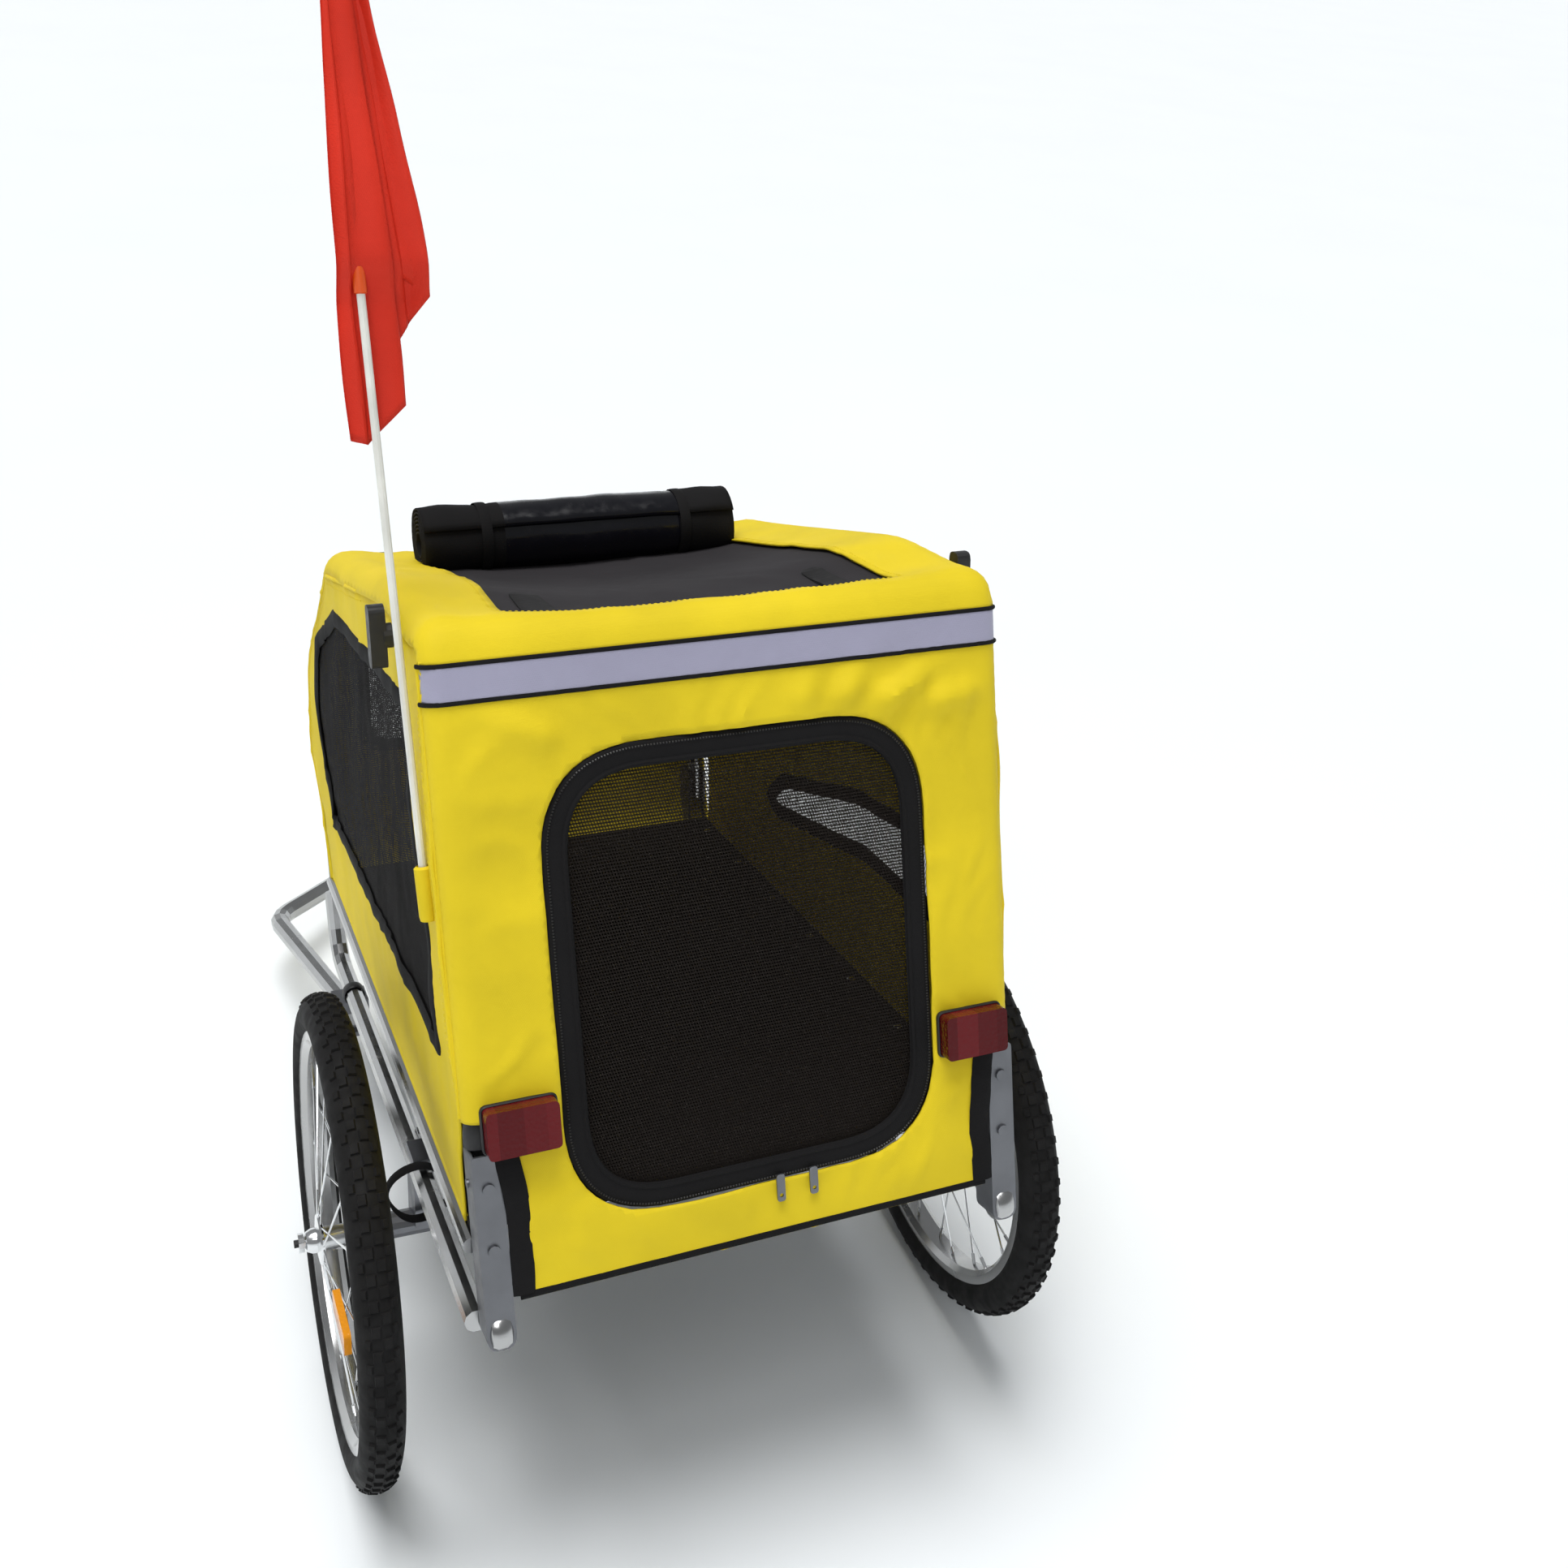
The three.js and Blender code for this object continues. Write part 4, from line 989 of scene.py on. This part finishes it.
def build_stage():
    """White paper under a sky that is bright at the horizon, so that the two meet without a line."""
    bpy.ops.mesh.primitive_plane_add(size=400, location=(0, 0, 0))
    ground = bpy.context.object
    ground.name = "studio_floor"
    paper = Shader("studio_paper", (0.93, 0.96, 0.975), 0.9).mottle(1.5, 0.985)
    ground.data.materials.append(paper.material)
    world = bpy.data.worlds.new("studio")
    world.use_nodes = True
    sky = world.node_tree.nodes["Background"]
    sky.inputs["Color"].default_value = (0.95, 0.98, 1.0, 1)
    nodes, links = world.node_tree.nodes, world.node_tree.links
    direction = nodes.new("ShaderNodeTexCoord")
    split = nodes.new("ShaderNodeSeparateXYZ")
    height = nodes.new("ShaderNodeMapRange")
    for key, number in (("From Min", 0.13), ("From Max", 0.26), ("To Min", 0.93), ("To Max", 0.26)):
        height.inputs[key].default_value = number
    links.new(direction.outputs["Generated"], split.inputs[0])
    links.new(split.outputs["Z"], height.inputs["Value"])
    links.new(height.outputs["Result"], sky.inputs["Strength"])
    bpy.context.scene.world = world
    sun = bpy.data.lights.new("sun", "SUN")
    sun.energy = 2.5
    sun.angle = math.radians(36)
    holder = bpy.data.objects.new("sun", sun)
    holder.rotation_euler = Vector((0.16, -0.06, -1)).to_track_quat("-Z", "Y").to_euler()
    bpy.context.scene.collection.objects.link(holder)
    glint = bpy.data.lights.new("glint", "AREA")
    glint.energy = 9
    glint.size = 0.8
    holder = bpy.data.objects.new("glint", glint)
    holder.location = (-0.9, -1.7, 2.6)
    holder.rotation_euler = (Vector((0, -0.2, 0.6)) - holder.location).to_track_quat("-Z", "Y").to_euler()
    bpy.context.scene.collection.objects.link(holder)


def build_camera():
    yaw, down, roll = 0.396, 0.325, 0.006
    ahead = Vector((math.sin(yaw) * math.cos(down), math.cos(yaw) * math.cos(down), -math.sin(down)))
    turned = BODY.to_3x3() * (1 / MM)
    ahead = (turned @ ahead).normalized()
    body_up = (turned @ Vector((0, 0, 1))).normalized()
    right = ahead.cross(body_up).normalized()
    up = right.cross(ahead)
    right, up = right * math.cos(roll) + up * math.sin(roll), up * math.cos(roll) - right * math.sin(roll)
    camera = bpy.data.cameras.new("camera")
    camera.sensor_width = 36
    camera.lens = 2023.9 / 1932 * 36
    camera.shift_x = 0.0026
    camera.shift_y = -0.0414
    holder = bpy.data.objects.new("camera", camera)
    holder.matrix_world = Matrix.Translation(BODY @ Vector((-487.8, -1497.2, 1048.1))) @ Matrix(
        (right, up, -ahead)
    ).transposed().to_4x4()
    bpy.context.scene.collection.objects.link(holder)
    bpy.context.scene.camera = holder


build_stage()
build_camera()
build_top()
build_sides()
build_rear()
build_door()
build_reflector_bases()
build_roll()
build_wheels()
build_flag()
build_fittings()
finish_cad()
bpy.context.scene.view_settings.view_transform = "Standard"
